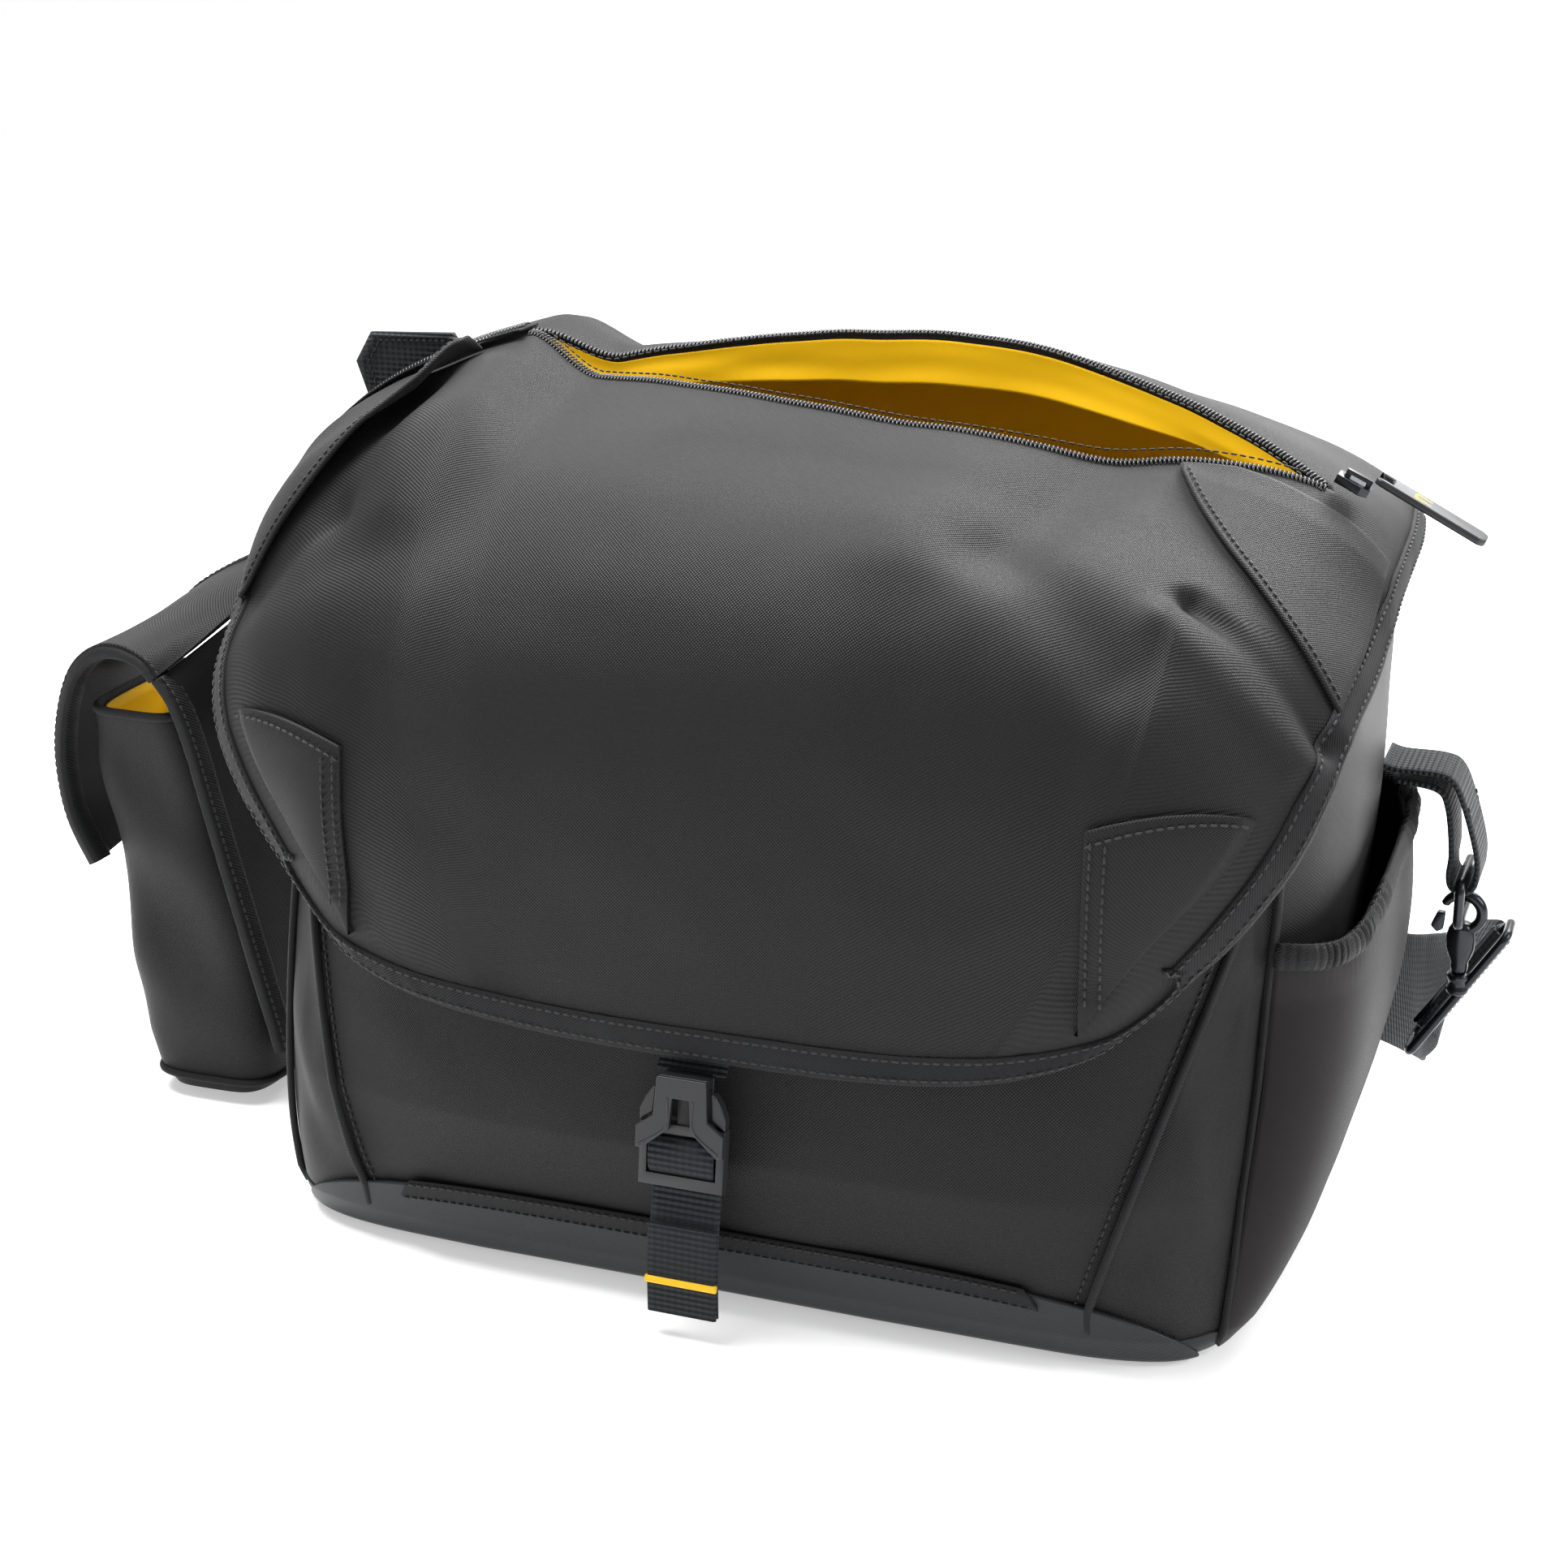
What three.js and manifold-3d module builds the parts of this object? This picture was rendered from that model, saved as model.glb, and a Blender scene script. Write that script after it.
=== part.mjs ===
// Camera shoulder bag, millimetres, +Z up. X runs left to right, -Y is the front.
// The origin is the middle of the base's underside.
import * as THREE from 'three';
import { mergeVertices } from 'three/addons/utils/BufferGeometryUtils.js';
import Module from 'manifold-3d';

// ---- Driving dimensions -------------------------------------------------------------------
const WALL = 12; // padded wall thickness
const BOOT_TOP = 6; // thickness of the coated base
const GAP = 0.9; // clearance between pieces that are sewn or rest together
const BACK_POWER = 6; // squareness of the body's plan, back half
const FRONT_PANEL_TOP = 190;
const SIDE_WALL_LOW = 200; // side walls, at the front seam
const SIDE_WALL_TOP = 230; // and at the back seam
const BACK_PANEL_TOP = 234;
const FLAP_THICK = 4;
const LINING_THICK = 1.5;
const WEBBING = 25; // narrow webbing, front strap and anchor loops
const STRAP_WIDE = 50; // shoulder strap webbing
const STRAP_THICK = 2;
const ZIP_RADIUS = 422; // arc that the zip slider runs on
const ZIP_CENTRE_Z = -116.6;
const ZIP_Y = 27;
const MOUTH_LEFT = -118; // ends of the quick-access mouth
const MOUTH_RIGHT = 176;
const MOUTH_HALF_WIDTH = 26;
const SLIDER_X = 181;
const BUCKLE_FOOT = [0, -123, 54]; // bottom bar of the plug, back face
const BUCKLE_LEAN = -0.191; // radians, the buckle follows the leaning front
const BUCKLE_HALF = 15.5;
const HARDWARE_Y = 68; // ring and hook of the shoulder strap
const HARDWARE_X = 224;
const RING_Z = 121;
const RING_DROP = 16;
const WIRE = 1.8; // radius of ring and loop wire
const HOOK_Z = RING_Z - RING_DROP; // centre of the hook's eye
const LOOP_Z = 72; // middle of the strap loop's near bar
const LOOP_TILT = 0.56; // radians, lean of the strap loop
const POUCH_FRONT = -27;
const POUCH_BACK = 45;
const POUCH_TOP = 160;
const LID_HINGE = [-208, 224]; // x, z of the pouch lid's seam

// Plan of the body by height: z, half width, front depth, back depth, front squareness.
const BODY_STATIONS = [
  [0, 172, 98, 97, 8], [12, 177, 104, 100, 7], [35, 181, 110, 100, 5.4], [60, 184, 112, 99, 4.4],
  [95, 188, 106, 98, 3.6], [120, 190, 102, 97, 3.1], [150, 192, 100, 96, 3.1],
  [212, 193, 97, 95, 3.1], [240, 192, 94, 94, 3.1],
];

// Flap stations from the hinge to the front point: centre y, centre z, edge x, edge y, edge z,
// squareness of the curve between them.
const FLAP_STATIONS = [
  [97, 250, 190, 92, 236, 2.5], [90, 284, 198, 84, 243, 2.15], [68, 301, 201, 64, 241, 1.85],
  [45, 306, 202, 42, 238, 1.85], [10, 300, 202, 8, 232, 1.85], [-28, 288, 202, -26, 221, 1.9],
  [-62, 268, 201, -52, 211, 2.2], [-90, 240, 198, -72, 196, 2.6], [-106, 205, 190, -84, 176, 3],
  [-113, 160, 172, -93, 150, 3], [-116, 98, 140, -100, 118, 2.6],
];

const wasm = await Module();
wasm.setup();
const bag = new THREE.Group();
const V = (x, y, z) => new THREE.Vector3(x, y, z);

// ---- Materials ----------------------------------------------------------------------------
const finish = (color, roughness, metalness = 0) =>
  () => new THREE.MeshStandardMaterial({ color, roughness, metalness });
const fabric = finish(0x2c2c2e, 0.85);
const binding = finish(0x1e1f21, 0.9);
const coated = finish(0x3e4448, 0.5);
const stretch = finish(0x3a3737, 0.8);
const webbing = finish(0x2a2e30, 0.85);
const lining = finish(0xf0ac10, 0.8);
const padding = finish(0x55575a, 0.95);
const plastic = finish(0x161719, 0.45);
const steel = finish(0x1b1c1e, 0.25, 0.8);
const coil = finish(0x101012, 0.35);

function add(name, geometry, material, parent = bag) {
  const mesh = new THREE.Mesh(geometry, material());
  mesh.name = name;
  parent.add(mesh);
  return mesh;
}

// ---- Solids -------------------------------------------------------------------------------
function solidFrom(points, triangles) {
  const positions = points.flatMap((p) => [p.x, p.y, p.z]);
  let volume = 0;
  for (const [a, b, c] of triangles) {
    volume += points[a].dot(points[b].clone().cross(points[c]));
  }
  const index = triangles.flatMap(([a, b, c]) => (volume > 0 ? [a, b, c] : [a, c, b]));
  const geometry = new THREE.BufferGeometry();
  geometry.setAttribute('position', new THREE.Float32BufferAttribute(positions, 3));
  geometry.setIndex(index);
  geometry.computeVertexNormals();
  return geometry;
}

// Closed solid between two sheets of points, outer(u, v) and inner(u, v) with u and v in 0..1.
function between(outer, inner, columns, rows) {
  const points = [];
  for (const sheet of [outer, inner]) {
    for (let j = 0; j <= rows; j++) {
      for (let i = 0; i <= columns; i++) points.push(sheet(i / columns, j / rows));
    }
  }
  const layer = (columns + 1) * (rows + 1);
  const at = (side, i, j) => side * layer + j * (columns + 1) + i;
  const triangles = [];
  const quad = (a, b, c, d) => triangles.push([a, b, c], [a, c, d]);
  for (let j = 0; j < rows; j++) {
    for (let i = 0; i < columns; i++) {
      quad(at(0, i, j), at(0, i + 1, j), at(0, i + 1, j + 1), at(0, i, j + 1));
      quad(at(1, i, j + 1), at(1, i + 1, j + 1), at(1, i + 1, j), at(1, i, j));
    }
    quad(at(1, 0, j), at(0, 0, j), at(0, 0, j + 1), at(1, 0, j + 1));
    quad(at(0, columns, j), at(1, columns, j), at(1, columns, j + 1), at(0, columns, j + 1));
  }
  for (let i = 0; i < columns; i++) {
    quad(at(1, i + 1, 0), at(0, i + 1, 0), at(0, i, 0), at(1, i, 0));
    quad(at(0, i + 1, rows), at(1, i + 1, rows), at(1, i, rows), at(0, i, rows));
  }
  return solidFrom(points, triangles);
}

// Closed solid through a list of rings of points, which may run on into the first again.
function loft(rings, ringed = false) {
  const [n, count] = [rings[0].length, rings.length];
  const triangles = [];
  for (let k = 0; k < (ringed ? count : count - 1); k++) {
    const next = ((k + 1) % count) * n;
    for (let i = 0; i < n; i++) {
      const j = (i + 1) % n;
      triangles.push([k * n + i, k * n + j, next + j], [k * n + i, next + j, next + i]);
    }
  }
  const last = (count - 1) * n;
  for (let i = 1; i + 1 < n && !ringed; i++) {
    triangles.push([0, i + 1, i], [last, last + i, last + i + 1]);
  }
  return solidFrom(rings.flat(), triangles);
}

// Flat band of a width and thickness along a curve; across gives the width's direction.
function band(curve, across, width, thick, steps) {
  const frames = [];
  for (let k = 0; k <= steps; k++) {
    const side = across(k / steps).normalize();
    const up = curve.getTangentAt(k / steps).cross(side).normalize();
    frames.push({ at: curve.getPointAt(k / steps), side, up });
  }
  const [w, t] = [width / 2, thick / 2];
  const section = [[-w, -t], [w, -t], [w, t], [-w, t]];
  return loft(frames.map(({ at, side, up }) => section.map(([s, h]) =>
    at.clone().addScaledVector(side, s).addScaledVector(up, h))));
}

function wire(points, radius, sides, steps) {
  const circle = new THREE.Shape().absarc(0, 0, radius, 0, 2 * Math.PI);
  const extrudePath = new THREE.CatmullRomCurve3(points, false, 'centripetal');
  return new THREE.ExtrudeGeometry(circle, { steps, curveSegments: sides, extrudePath });
}

// Closed wire round a rectangle given by its corners, each bent to a radius.
function wireLoop(corners, bend, radius) {
  const [a, b, c] = corners;
  const normal = b.clone().sub(a).cross(c.clone().sub(b)).normalize();
  const rings = corners.flatMap((corner, k) => {
    const back = corners.at(k - 1).clone().sub(corner).normalize();
    const ahead = corners[(k + 1) % 4].clone().sub(corner).normalize();
    return [0, 1, 2, 3, 4].map((step) => {
      const turn = (Math.PI / 8) * step;
      const outward = V(0, 0, 0).addScaledVector(ahead, -Math.cos(turn))
        .addScaledVector(back, -Math.sin(turn));
      const middle = corner.clone().addScaledVector(back, bend).addScaledVector(ahead, bend)
        .addScaledVector(outward, bend);
      return [0, 1, 2, 3, 4, 5, 6, 7].map((side) => middle.clone()
        .addScaledVector(outward, radius * Math.cos((Math.PI / 4) * side))
        .addScaledVector(normal, radius * Math.sin((Math.PI / 4) * side)));
    });
  });
  return loft(rings, true);
}

function extruded(shape, depth, curveSegments = 8) {
  return new THREE.ExtrudeGeometry(shape, { depth, bevelEnabled: false, curveSegments });
}

function outline(points) {
  return new THREE.Shape(points.map(([x, y]) => new THREE.Vector2(x, y)));
}

function block(x0, x1, y0, y1, z0, z1) {
  const box = new THREE.BoxGeometry(x1 - x0, y1 - y0, z1 - z0);
  return box.translate((x0 + x1) / 2, (y0 + y1) / 2, (z0 + z1) / 2);
}

// ---- Joining and cutting ------------------------------------------------------------------
function toManifold(geometry) {
  const bare = geometry.clone();
  bare.deleteAttribute('normal');
  bare.deleteAttribute('uv');
  const merged = mergeVertices(bare, 1e-4);
  return new wasm.Manifold(new wasm.Mesh({
    numProp: 3,
    vertProperties: new Float32Array(merged.attributes.position.array),
    triVerts: new Uint32Array(merged.index.array),
  }));
}

function fromManifold(solid) {
  const mesh = solid.getMesh();
  const geometry = new THREE.BufferGeometry();
  geometry.setAttribute('position', new THREE.BufferAttribute(mesh.vertProperties, 3));
  geometry.setIndex(new THREE.BufferAttribute(mesh.triVerts, 1));
  geometry.computeVertexNormals();
  return geometry;
}

const join = (...parts) => fromManifold(parts.map(toManifold).reduce((a, b) => a.add(b)));
const cut = (body, ...tools) => fromManifold(
  tools.map(toManifold).reduce((a, b) => a.subtract(b), toManifold(body)));

// ---- The body's surface -------------------------------------------------------------------
function stationAt(stations, value) {
  let k = 0;
  while (k < stations.length - 2 && stations[k + 1][0] < value) k++;
  const [low, high] = [stations[k], stations[k + 1]];
  const t = Math.min(1, Math.max(0, (value - low[0]) / (high[0] - low[0])));
  return low.map((number, i) => number + (high[i] - number) * t);
}

// Point on the body at plan angle phi in degrees (0 is +X, -90 the front), outset from it.
function rim(phi, z, outset = 0) {
  const [, half, front, back, square] = stationAt(BODY_STATIONS, z);
  const angle = THREE.MathUtils.degToRad(phi);
  const [c, s] = [Math.cos(angle), Math.sin(angle)];
  const power = 2 / (s < 0 ? square : BACK_POWER);
  const depth = (s < 0 ? front : back) + outset;
  const x = (half + outset) * Math.sign(c) * Math.abs(c) ** power;
  return V(x, depth * Math.sign(s) * Math.abs(s) ** power, z);
}

const mix = (a, b, t) => a + (b - a) * t;

// Wall between two plan angles; its top runs straight from height z1 to height z2.
function wallPanel(from, to, z0, z1, z2, outset, thick, columns, rows) {
  const sheet = (offset) => (u, v) => rim(mix(from, to, u), mix(z0, mix(z1, z2, u), v), offset);
  return between(sheet(outset), sheet(outset - thick), columns, rows);
}

// Solid slab of the body's plan between two heights.
function planSlab(outset, z0, z1, columns) {
  const ring = (z) => Array.from({ length: columns }, (_, i) => rim((360 * i) / columns - 180, z, outset));
  return loft([ring(z0), ring(z1)]);
}

// ---- The flap's surface -------------------------------------------------------------------
function flapStation(v) {
  const place = v * (FLAP_STATIONS.length - 1);
  const k = Math.min(FLAP_STATIONS.length - 2, Math.floor(place));
  const row = (i) => FLAP_STATIONS[Math.min(FLAP_STATIONS.length - 1, Math.max(0, i))];
  const t = place - k;
  return row(k).map((_, i) => {
    const [a, b, c, d] = [row(k - 1)[i], row(k)[i], row(k + 1)[i], row(k + 2)[i]];
    return b + 0.5 * t * (c - a + t * (2 * a - 5 * b + 4 * c - d + t * (3 * (b - c) + d - a)));
  });
}

// Point on the flap: s from -1 to 1 across, v from 0 at the hinge to 1 at the front.
function flapPoint(s, v) {
  const [yc, zc, xe, ye, ze, power] = flapStation(v);
  const rise = Math.max(0, 1 - Math.abs(s) ** power) ** (1 / power);
  return V(xe * s, mix(ye, yc, rise), mix(ze, zc, rise));
}

function flapNormal(s, v) {
  const step = 0.02;
  const inside = Math.min(0.97, Math.max(-0.97, s));
  const across = flapPoint(inside + step, v).sub(flapPoint(inside - step, v));
  const [v0, v1] = [Math.max(0, v - step), Math.min(1, v + step)];
  const along = flapPoint(inside, v1).sub(flapPoint(inside, v0));
  return along.cross(across).normalize();
}

const acrossFlap = (u) => Math.sin((u - 0.5) * Math.PI);

function flapSheet(place, offset) {
  return (u, v) => {
    const [s, along] = place(u, v);
    return flapPoint(s, along).addScaledVector(flapNormal(s, along), offset);
  };
}

const flapPanel = (place, outset, thick, columns, rows) =>
  between(flapSheet(place, outset), flapSheet(place, outset - thick), columns, rows);

// Height of the flap's outer surface over a point of the plan.
function flapHeight(x, y) {
  let [low, high] = [0, 1];
  for (let k = 0; k < 30; k++) {
    const v = (low + high) / 2;
    const point = flapPoint(x / flapStation(v)[2], v);
    if (point.y > y) low = v;
    else high = v;
  }
  return flapPoint(x / flapStation(low)[2], low).z;
}

// Half the width of the quick-access mouth at x.
function mouthHalf(x) {
  const t = (x - MOUTH_LEFT) / (MOUTH_RIGHT - MOUTH_LEFT);
  return 4 * MOUTH_HALF_WIDTH * t * (1 - t);
}

// ---- Body ---------------------------------------------------------------------------------
function buildBody() {
  const floor = BOOT_TOP + 0.4;
  const seam = 0.15; // degrees of plan angle left open at each seam
  add('base_boot', planSlab(0, 0, BOOT_TOP, 64), coated);
  const wall = (name, from, to, top1, top2, columns) =>
    add(name, wallPanel(from, to, floor, top1, top2, 0, WALL, columns, 7), fabric);
  wall('front_panel', -134, -46, FRONT_PANEL_TOP, FRONT_PANEL_TOP, 16);
  wall('side_wall_right', -46 + seam, 38, SIDE_WALL_LOW, SIDE_WALL_TOP, 14);
  wall('side_wall_left', 142, 226 - seam, SIDE_WALL_TOP, SIDE_WALL_LOW, 14);
  wall('back_panel', 38 + seam, 142 - seam, BACK_PANEL_TOP, BACK_PANEL_TOP, 16);

  // Coated leaf that wraps up the front, pointed at both ends, and the tape over its edge.
  const leafTop = (phi) => 2 + 27 * Math.max(0, 1 - Math.abs((phi + 90) / 54) ** 1.6);
  const leaf = (offset) => (u, v) => {
    const phi = mix(-143, -37, u);
    return rim(phi, mix(0.3, leafTop(phi), v), offset);
  };
  add('front_leaf', between(leaf(2.4), leaf(GAP), 24, 3), coated);
  const tape = (offset) => (u, v) => {
    const phi = mix(-104, -76, u);
    return rim(phi, leafTop(phi) + mix(-6, 3, v), offset);
  };
  add('trim_tape', between(tape(3.8), tape(2.9), 16, 1), binding);

  add('lining', wallPanel(-269.7, 89.7, floor + 0.4, 186, 186, -WALL - 1.6, 1.2, 56, 7), lining);
  add('bottom_pad', planSlab(-WALL - 6, floor, 14, 48), padding);
  for (const [side, x] of [['left', -62], ['right', 62]]) {
    add(`divider_${side}`, block(x - 4, x + 4, -82, 79, 14.4, 168), padding);
  }
}

function buildStretchPocket() {
  const top = (phi) => mix(136, 146, (phi + 26) / 62);
  const swell = (u, v) => 17 * (1 - (2 * u - 1) ** 4) * (1 - (1 - v) ** 3) * (1 - 0.35 * v ** 4);
  const sheet = (thickness) => (u, v) => {
    const phi = mix(-26, 36, u);
    return rim(phi, mix(4, top(phi), v), 3.4 + swell(u, v) - thickness);
  };
  add('stretch_pocket', between(sheet(0), sheet(2.6), 14, 9), stretch);
  const edge = [];
  for (let k = 0; k <= 10; k++) {
    const phi = mix(-26, 36, k / 10);
    edge.push(rim(phi, top(phi) + 3.2, 2.4 + swell(k / 10, 1)));
  }
  add('pocket_binding', wire(edge, 2.2, 4, 18), binding);
}

// ---- Flap ---------------------------------------------------------------------------------
function buildFlap() {
  const whole = (last) => (u, v) => [acrossFlap(u), v * last];
  const lens = [];
  for (let k = 0; k <= 20; k++) {
    const x = mix(MOUTH_LEFT, MOUTH_RIGHT, k / 20);
    lens.push([x, ZIP_Y - mouthHalf(x)]);
  }
  for (let k = 19; k > 0; k--) {
    const x = mix(MOUTH_LEFT, MOUTH_RIGHT, k / 20);
    lens.push([x, ZIP_Y + mouthHalf(x)]);
  }
  const mouth = extruded(outline(lens), 80).translate(0, 0, 250);
  add('flap_shell', cut(flapPanel(whole(1), 0, FLAP_THICK, 24, 20), mouth), fabric);
  const under = -FLAP_THICK - GAP;
  add('flap_lining', cut(flapPanel(whole(0.88), under, LINING_THICK, 20, 14), mouth), lining);

  // Wings over the top corners, from a curved hem to the flap's side edge.
  for (const [side, sign] of [['left', -1], ['right', 1]]) {
    const wing = (u, v) => {
      const along = mix(0.44, 0.64, v);
      const hem = mix(0.68, 0.985, v ** 1.5);
      return [sign * mix(hem, 0.992, u), along];
    };
    add(`wing_panel_${side}`, flapPanel(wing, 2.8, 1.4, 7, 8), fabric);
    // Folded patch on the lower corner, a triangle with one upright edge.
    const patch = (u, v) => {
      const along = mix(0.83, 0.975, v);
      const inner = 0.715;
      const outer = mix(0.93, 0.8, v);
      return [sign * mix(inner, outer, u), along];
    };
    add(`corner_patch_${side}`, flapPanel(patch, 2.8, 1.4, 6, 6), fabric);
  }

  // Bound edge: down the left side, along the front point and up the right side.
  const edge = [];
  const bound = (s0, v0, s1, v1, out = 3.6) => {
    const tip = flapPoint(s0, v0);
    const outward = tip.clone().sub(flapPoint(s1, v1)).normalize();
    const middle = flapNormal(s0, v0).multiplyScalar(-FLAP_THICK / 2);
    edge.push(tip.addScaledVector(outward, out).add(middle));
  };
  for (let k = 1; k <= 13; k++) bound(-1, mix(0.1, 0.95, k / 13), -0.98, mix(0.1, 0.95, k / 13));
  bound(-1, 1, -0.96, 0.96, 5);
  for (let k = 0; k <= 14; k++) {
    const across = mix(-0.86, 0.86, k / 14);
    bound(across, 1, across, 0.97, 4 + 2 * across ** 4);
  }
  const right = edge.slice(0, 14).reverse().map((p) => V(-p.x, p.y, p.z));
  add('flap_binding', wire([...edge, ...right], 2, 4, 76), binding);

  for (const [side, sign] of [['front', -1], ['back', 1]]) {
    const row = [];
    for (let k = 0; k <= 12; k++) {
      const x = mix(MOUTH_LEFT, MOUTH_RIGHT, mix(0.045, 0.955, k / 12));
      const y = ZIP_Y + sign * (mouthHalf(x) - 2);
      row.push(V(x, y, flapHeight(x, y) - 1.2));
    }
    add(`zip_coil_${side}`, wire(row, 1.3, 3, 26), coil);
  }

  const tab = outline([[-141, 284.5], [-176, 268.5], [-187, 275], [-191, 288], [-184, 300],
    [-150, 301]]);
  add('pull_tab', extruded(tab, 3).rotateX(Math.PI / 2).translate(0, 32, 0), webbing);
}

// ---- Zip slider ---------------------------------------------------------------------------
function buildZip() {
  const slider = new THREE.Group();
  const angle = Math.asin(SLIDER_X / ZIP_RADIUS);
  slider.position.set(SLIDER_X, ZIP_Y, ZIP_CENTRE_Z + ZIP_RADIUS * Math.cos(angle));
  slider.rotation.y = angle;
  bag.add(slider);
  const base = extruded(outline([[-6, -3.4], [3, -4.6], [6, -2.6], [6, 2.6], [3, 4.6], [-6, 3.4]]), 3);
  const bridge = extruded(outline([[-4, 2.8], [-4, 5.6], [5.5, 5.6], [5.5, 2.8], [3.6, 2.8],
    [3.6, 4.2], [-2, 4.2], [-2, 2.8]]), 2.4).rotateX(Math.PI / 2).translate(0, 1.2, 0);
  add('zip_slider', join(base, bridge).translate(0, 0, 3), steel, slider);
  const pull = new THREE.Group();
  pull.position.set(4.6, 0, 10.6);
  pull.rotation.y = 0.05;
  slider.add(pull);
  const plate = outline([[1.2, -4], [3, -5.2], [40, -5.2], [42, -3.6], [42, 3.6], [40, 5.2],
    [3, 5.2], [1.2, 4]]);
  const slot = block(2.6, 6.6, -2.6, 2.6, -5, 5);
  add('zip_pull', cut(extruded(plate, 2.6).translate(0, 0, -1.3), slot), plastic, pull);
}

// ---- Front buckle and strap ---------------------------------------------------------------
function buildBuckle() {
  const buckle = new THREE.Group();
  buckle.position.set(...BUCKLE_FOOT);
  buckle.rotation.x = BUCKLE_LEAN;
  bag.add(buckle);
  const upright = (shape, depth, y) => extruded(shape, depth).rotateX(Math.PI / 2)
    .translate(0, y + depth, 0);
  const half = BUCKLE_HALF;
  const face = outline([[-half, 24], [-half, 35], [-half + 3, 38], [half - 3, 38], [half, 35],
    [half, 24], [half - 3, 22], [5, 22], [0, 25], [-5, 22], [-half + 3, 22]]);
  const window = outline([[-7, 35], [-7, 32], [-2.5, 29], [-2.5, 26.5], [2.5, 26.5], [2.5, 29],
    [7, 32], [7, 35]]);
  const rails = [-1, 1].map((side) => block(
    side > 0 ? 13 : -half, side > 0 ? half : -13, -6.4, 0, 24, 36));
  const notches = [-1, 1].map((side) => block(
    side > 0 ? 12 : -half - 1, side > 0 ? half + 1 : -12, -4.8, 1, 25.5, 31.5));
  const socket = cut(join(upright(face, 2, -8), ...rails, block(-13.4, 13.4, -6.4, 0, 34.6, 37.6)),
    upright(window, 4, -9), ...notches);
  add('buckle_socket', socket, plastic, buckle);

  const bars = [-1, 1].map((side) => block(
    side > 0 ? 12.4 : -15, side > 0 ? 15 : -12.4, -5.4, -0.6, 0, 21.5));
  const plug = join(...bars, block(-13, 13, -5.4, -1.2, 0, 4), block(-13, 13, -4.4, -1.8, 11.6, 14.2),
    block(-13, 13, -5.4, -0.6, 18.2, 21.5), block(-2.2, 2.2, -4.5, -1.5, 21, 31));
  add('buckle_plug', plug, plastic, buckle);
  for (const [side, sign] of [['left', -1], ['right', 1]]) {
    const prong = outline([[8.2, 21.9], [10.6, 21.9], [11.2, 26], [12.2, 27.5], [11.2, 32], [8.6, 32],
      [8, 27]].map(([x, z]) => [sign * x, z]));
    add(`prong_${side}`, upright(prong, 3.4, -4.8), plastic, buckle);
  }
  const fold = block(-11.8, 11.8, -5.8, -0.6, 4.4, 16.4);
  const loop = cut(fold, block(-12, 12, -4.8, -1.4, 11.2, 14.6));
  add('plug_webbing', loop, webbing, buckle);

  const strip = (places, steps) => band(new THREE.CatmullRomCurve3(
    places.map(([y, z]) => V(0, y, z)), false, 'centripetal'), () => V(1, 0, 0), WEBBING, 1.5, steps);
  add('buckle_tab', strip([[-109.4, 128], [-109.4, 100], [-109.8, 94], [-112.4, 91.6],
    [-113.9, 88.6]], 12), webbing);
  add('front_strap', strip([[-119.4, 60], [-120.9, 52], [-124.8, 38], [-126.8, 22], [-129.2, 9]], 14),
    webbing);
}

// ---- Side pouch ---------------------------------------------------------------------------
function buildPouch() {
  const sections = [[8, -276, -224], [22, -281, -219], [95, -289, -232], [POUCH_TOP, -293, -248]];
  const tub = (inset, z0, z1) => loft([0, 1, 2, 3, 4, 5].map((row) => {
    const z = mix(z0, z1, row / 5);
    const [, left, right] = stationAt(sections, z);
    const [cx, cy] = [(left + right) / 2, (POUCH_FRONT + POUCH_BACK) / 2];
    const [hx, hy] = [(right - left) / 2 - inset, (POUCH_BACK - POUCH_FRONT) / 2 - inset];
    return Array.from({ length: 28 }, (_, i) => {
      const [c, s] = [Math.cos((Math.PI * i) / 14), Math.sin((Math.PI * i) / 14)];
      return V(cx + hx * Math.sign(c) * Math.abs(c) ** 0.4, cy + hy * Math.sign(s) * Math.abs(s) ** 0.4, z);
    });
  }));
  add('pouch_shell', cut(tub(0, 8, POUCH_TOP), tub(4, 12, POUCH_TOP + 1)), fabric);
  add('pouch_lining', cut(tub(4.4, 12.4, POUCH_TOP - 1), tub(5.8, 14, POUCH_TOP)), lining);
  // Back of the pouch: sewn to the bag at its top, then down the pouch's inner side.
  const back = outline([[-205.6, 219], [-244.6, 168], [-229.4, 95], [-215.6, 24], [-212.6, 24],
    [-226.4, 95], [-241.4, 167], [-205.6, 214]]);
  const depth = POUCH_BACK - POUCH_FRONT;
  add('pouch_hanger', extruded(back, depth).rotateX(Math.PI / 2).translate(0, POUCH_BACK, 0), fabric);
  const [hx, hz] = LID_HINGE;
  const lid = outline([[hx, hz], [hx - 8, hz - 1], [-296, 178], [-303, 168], [-305, 98], [-301.6, 98],
    [-299.6, 166], [-293.5, 174], [hx - 8, hz - 5], [hx, hz - 3.6]]);
  const width = POUCH_BACK - POUCH_FRONT + 4;
  add('pouch_lid', extruded(lid, width).rotateX(Math.PI / 2)
    .translate(0, POUCH_BACK + 2, 0), fabric);
}

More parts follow.
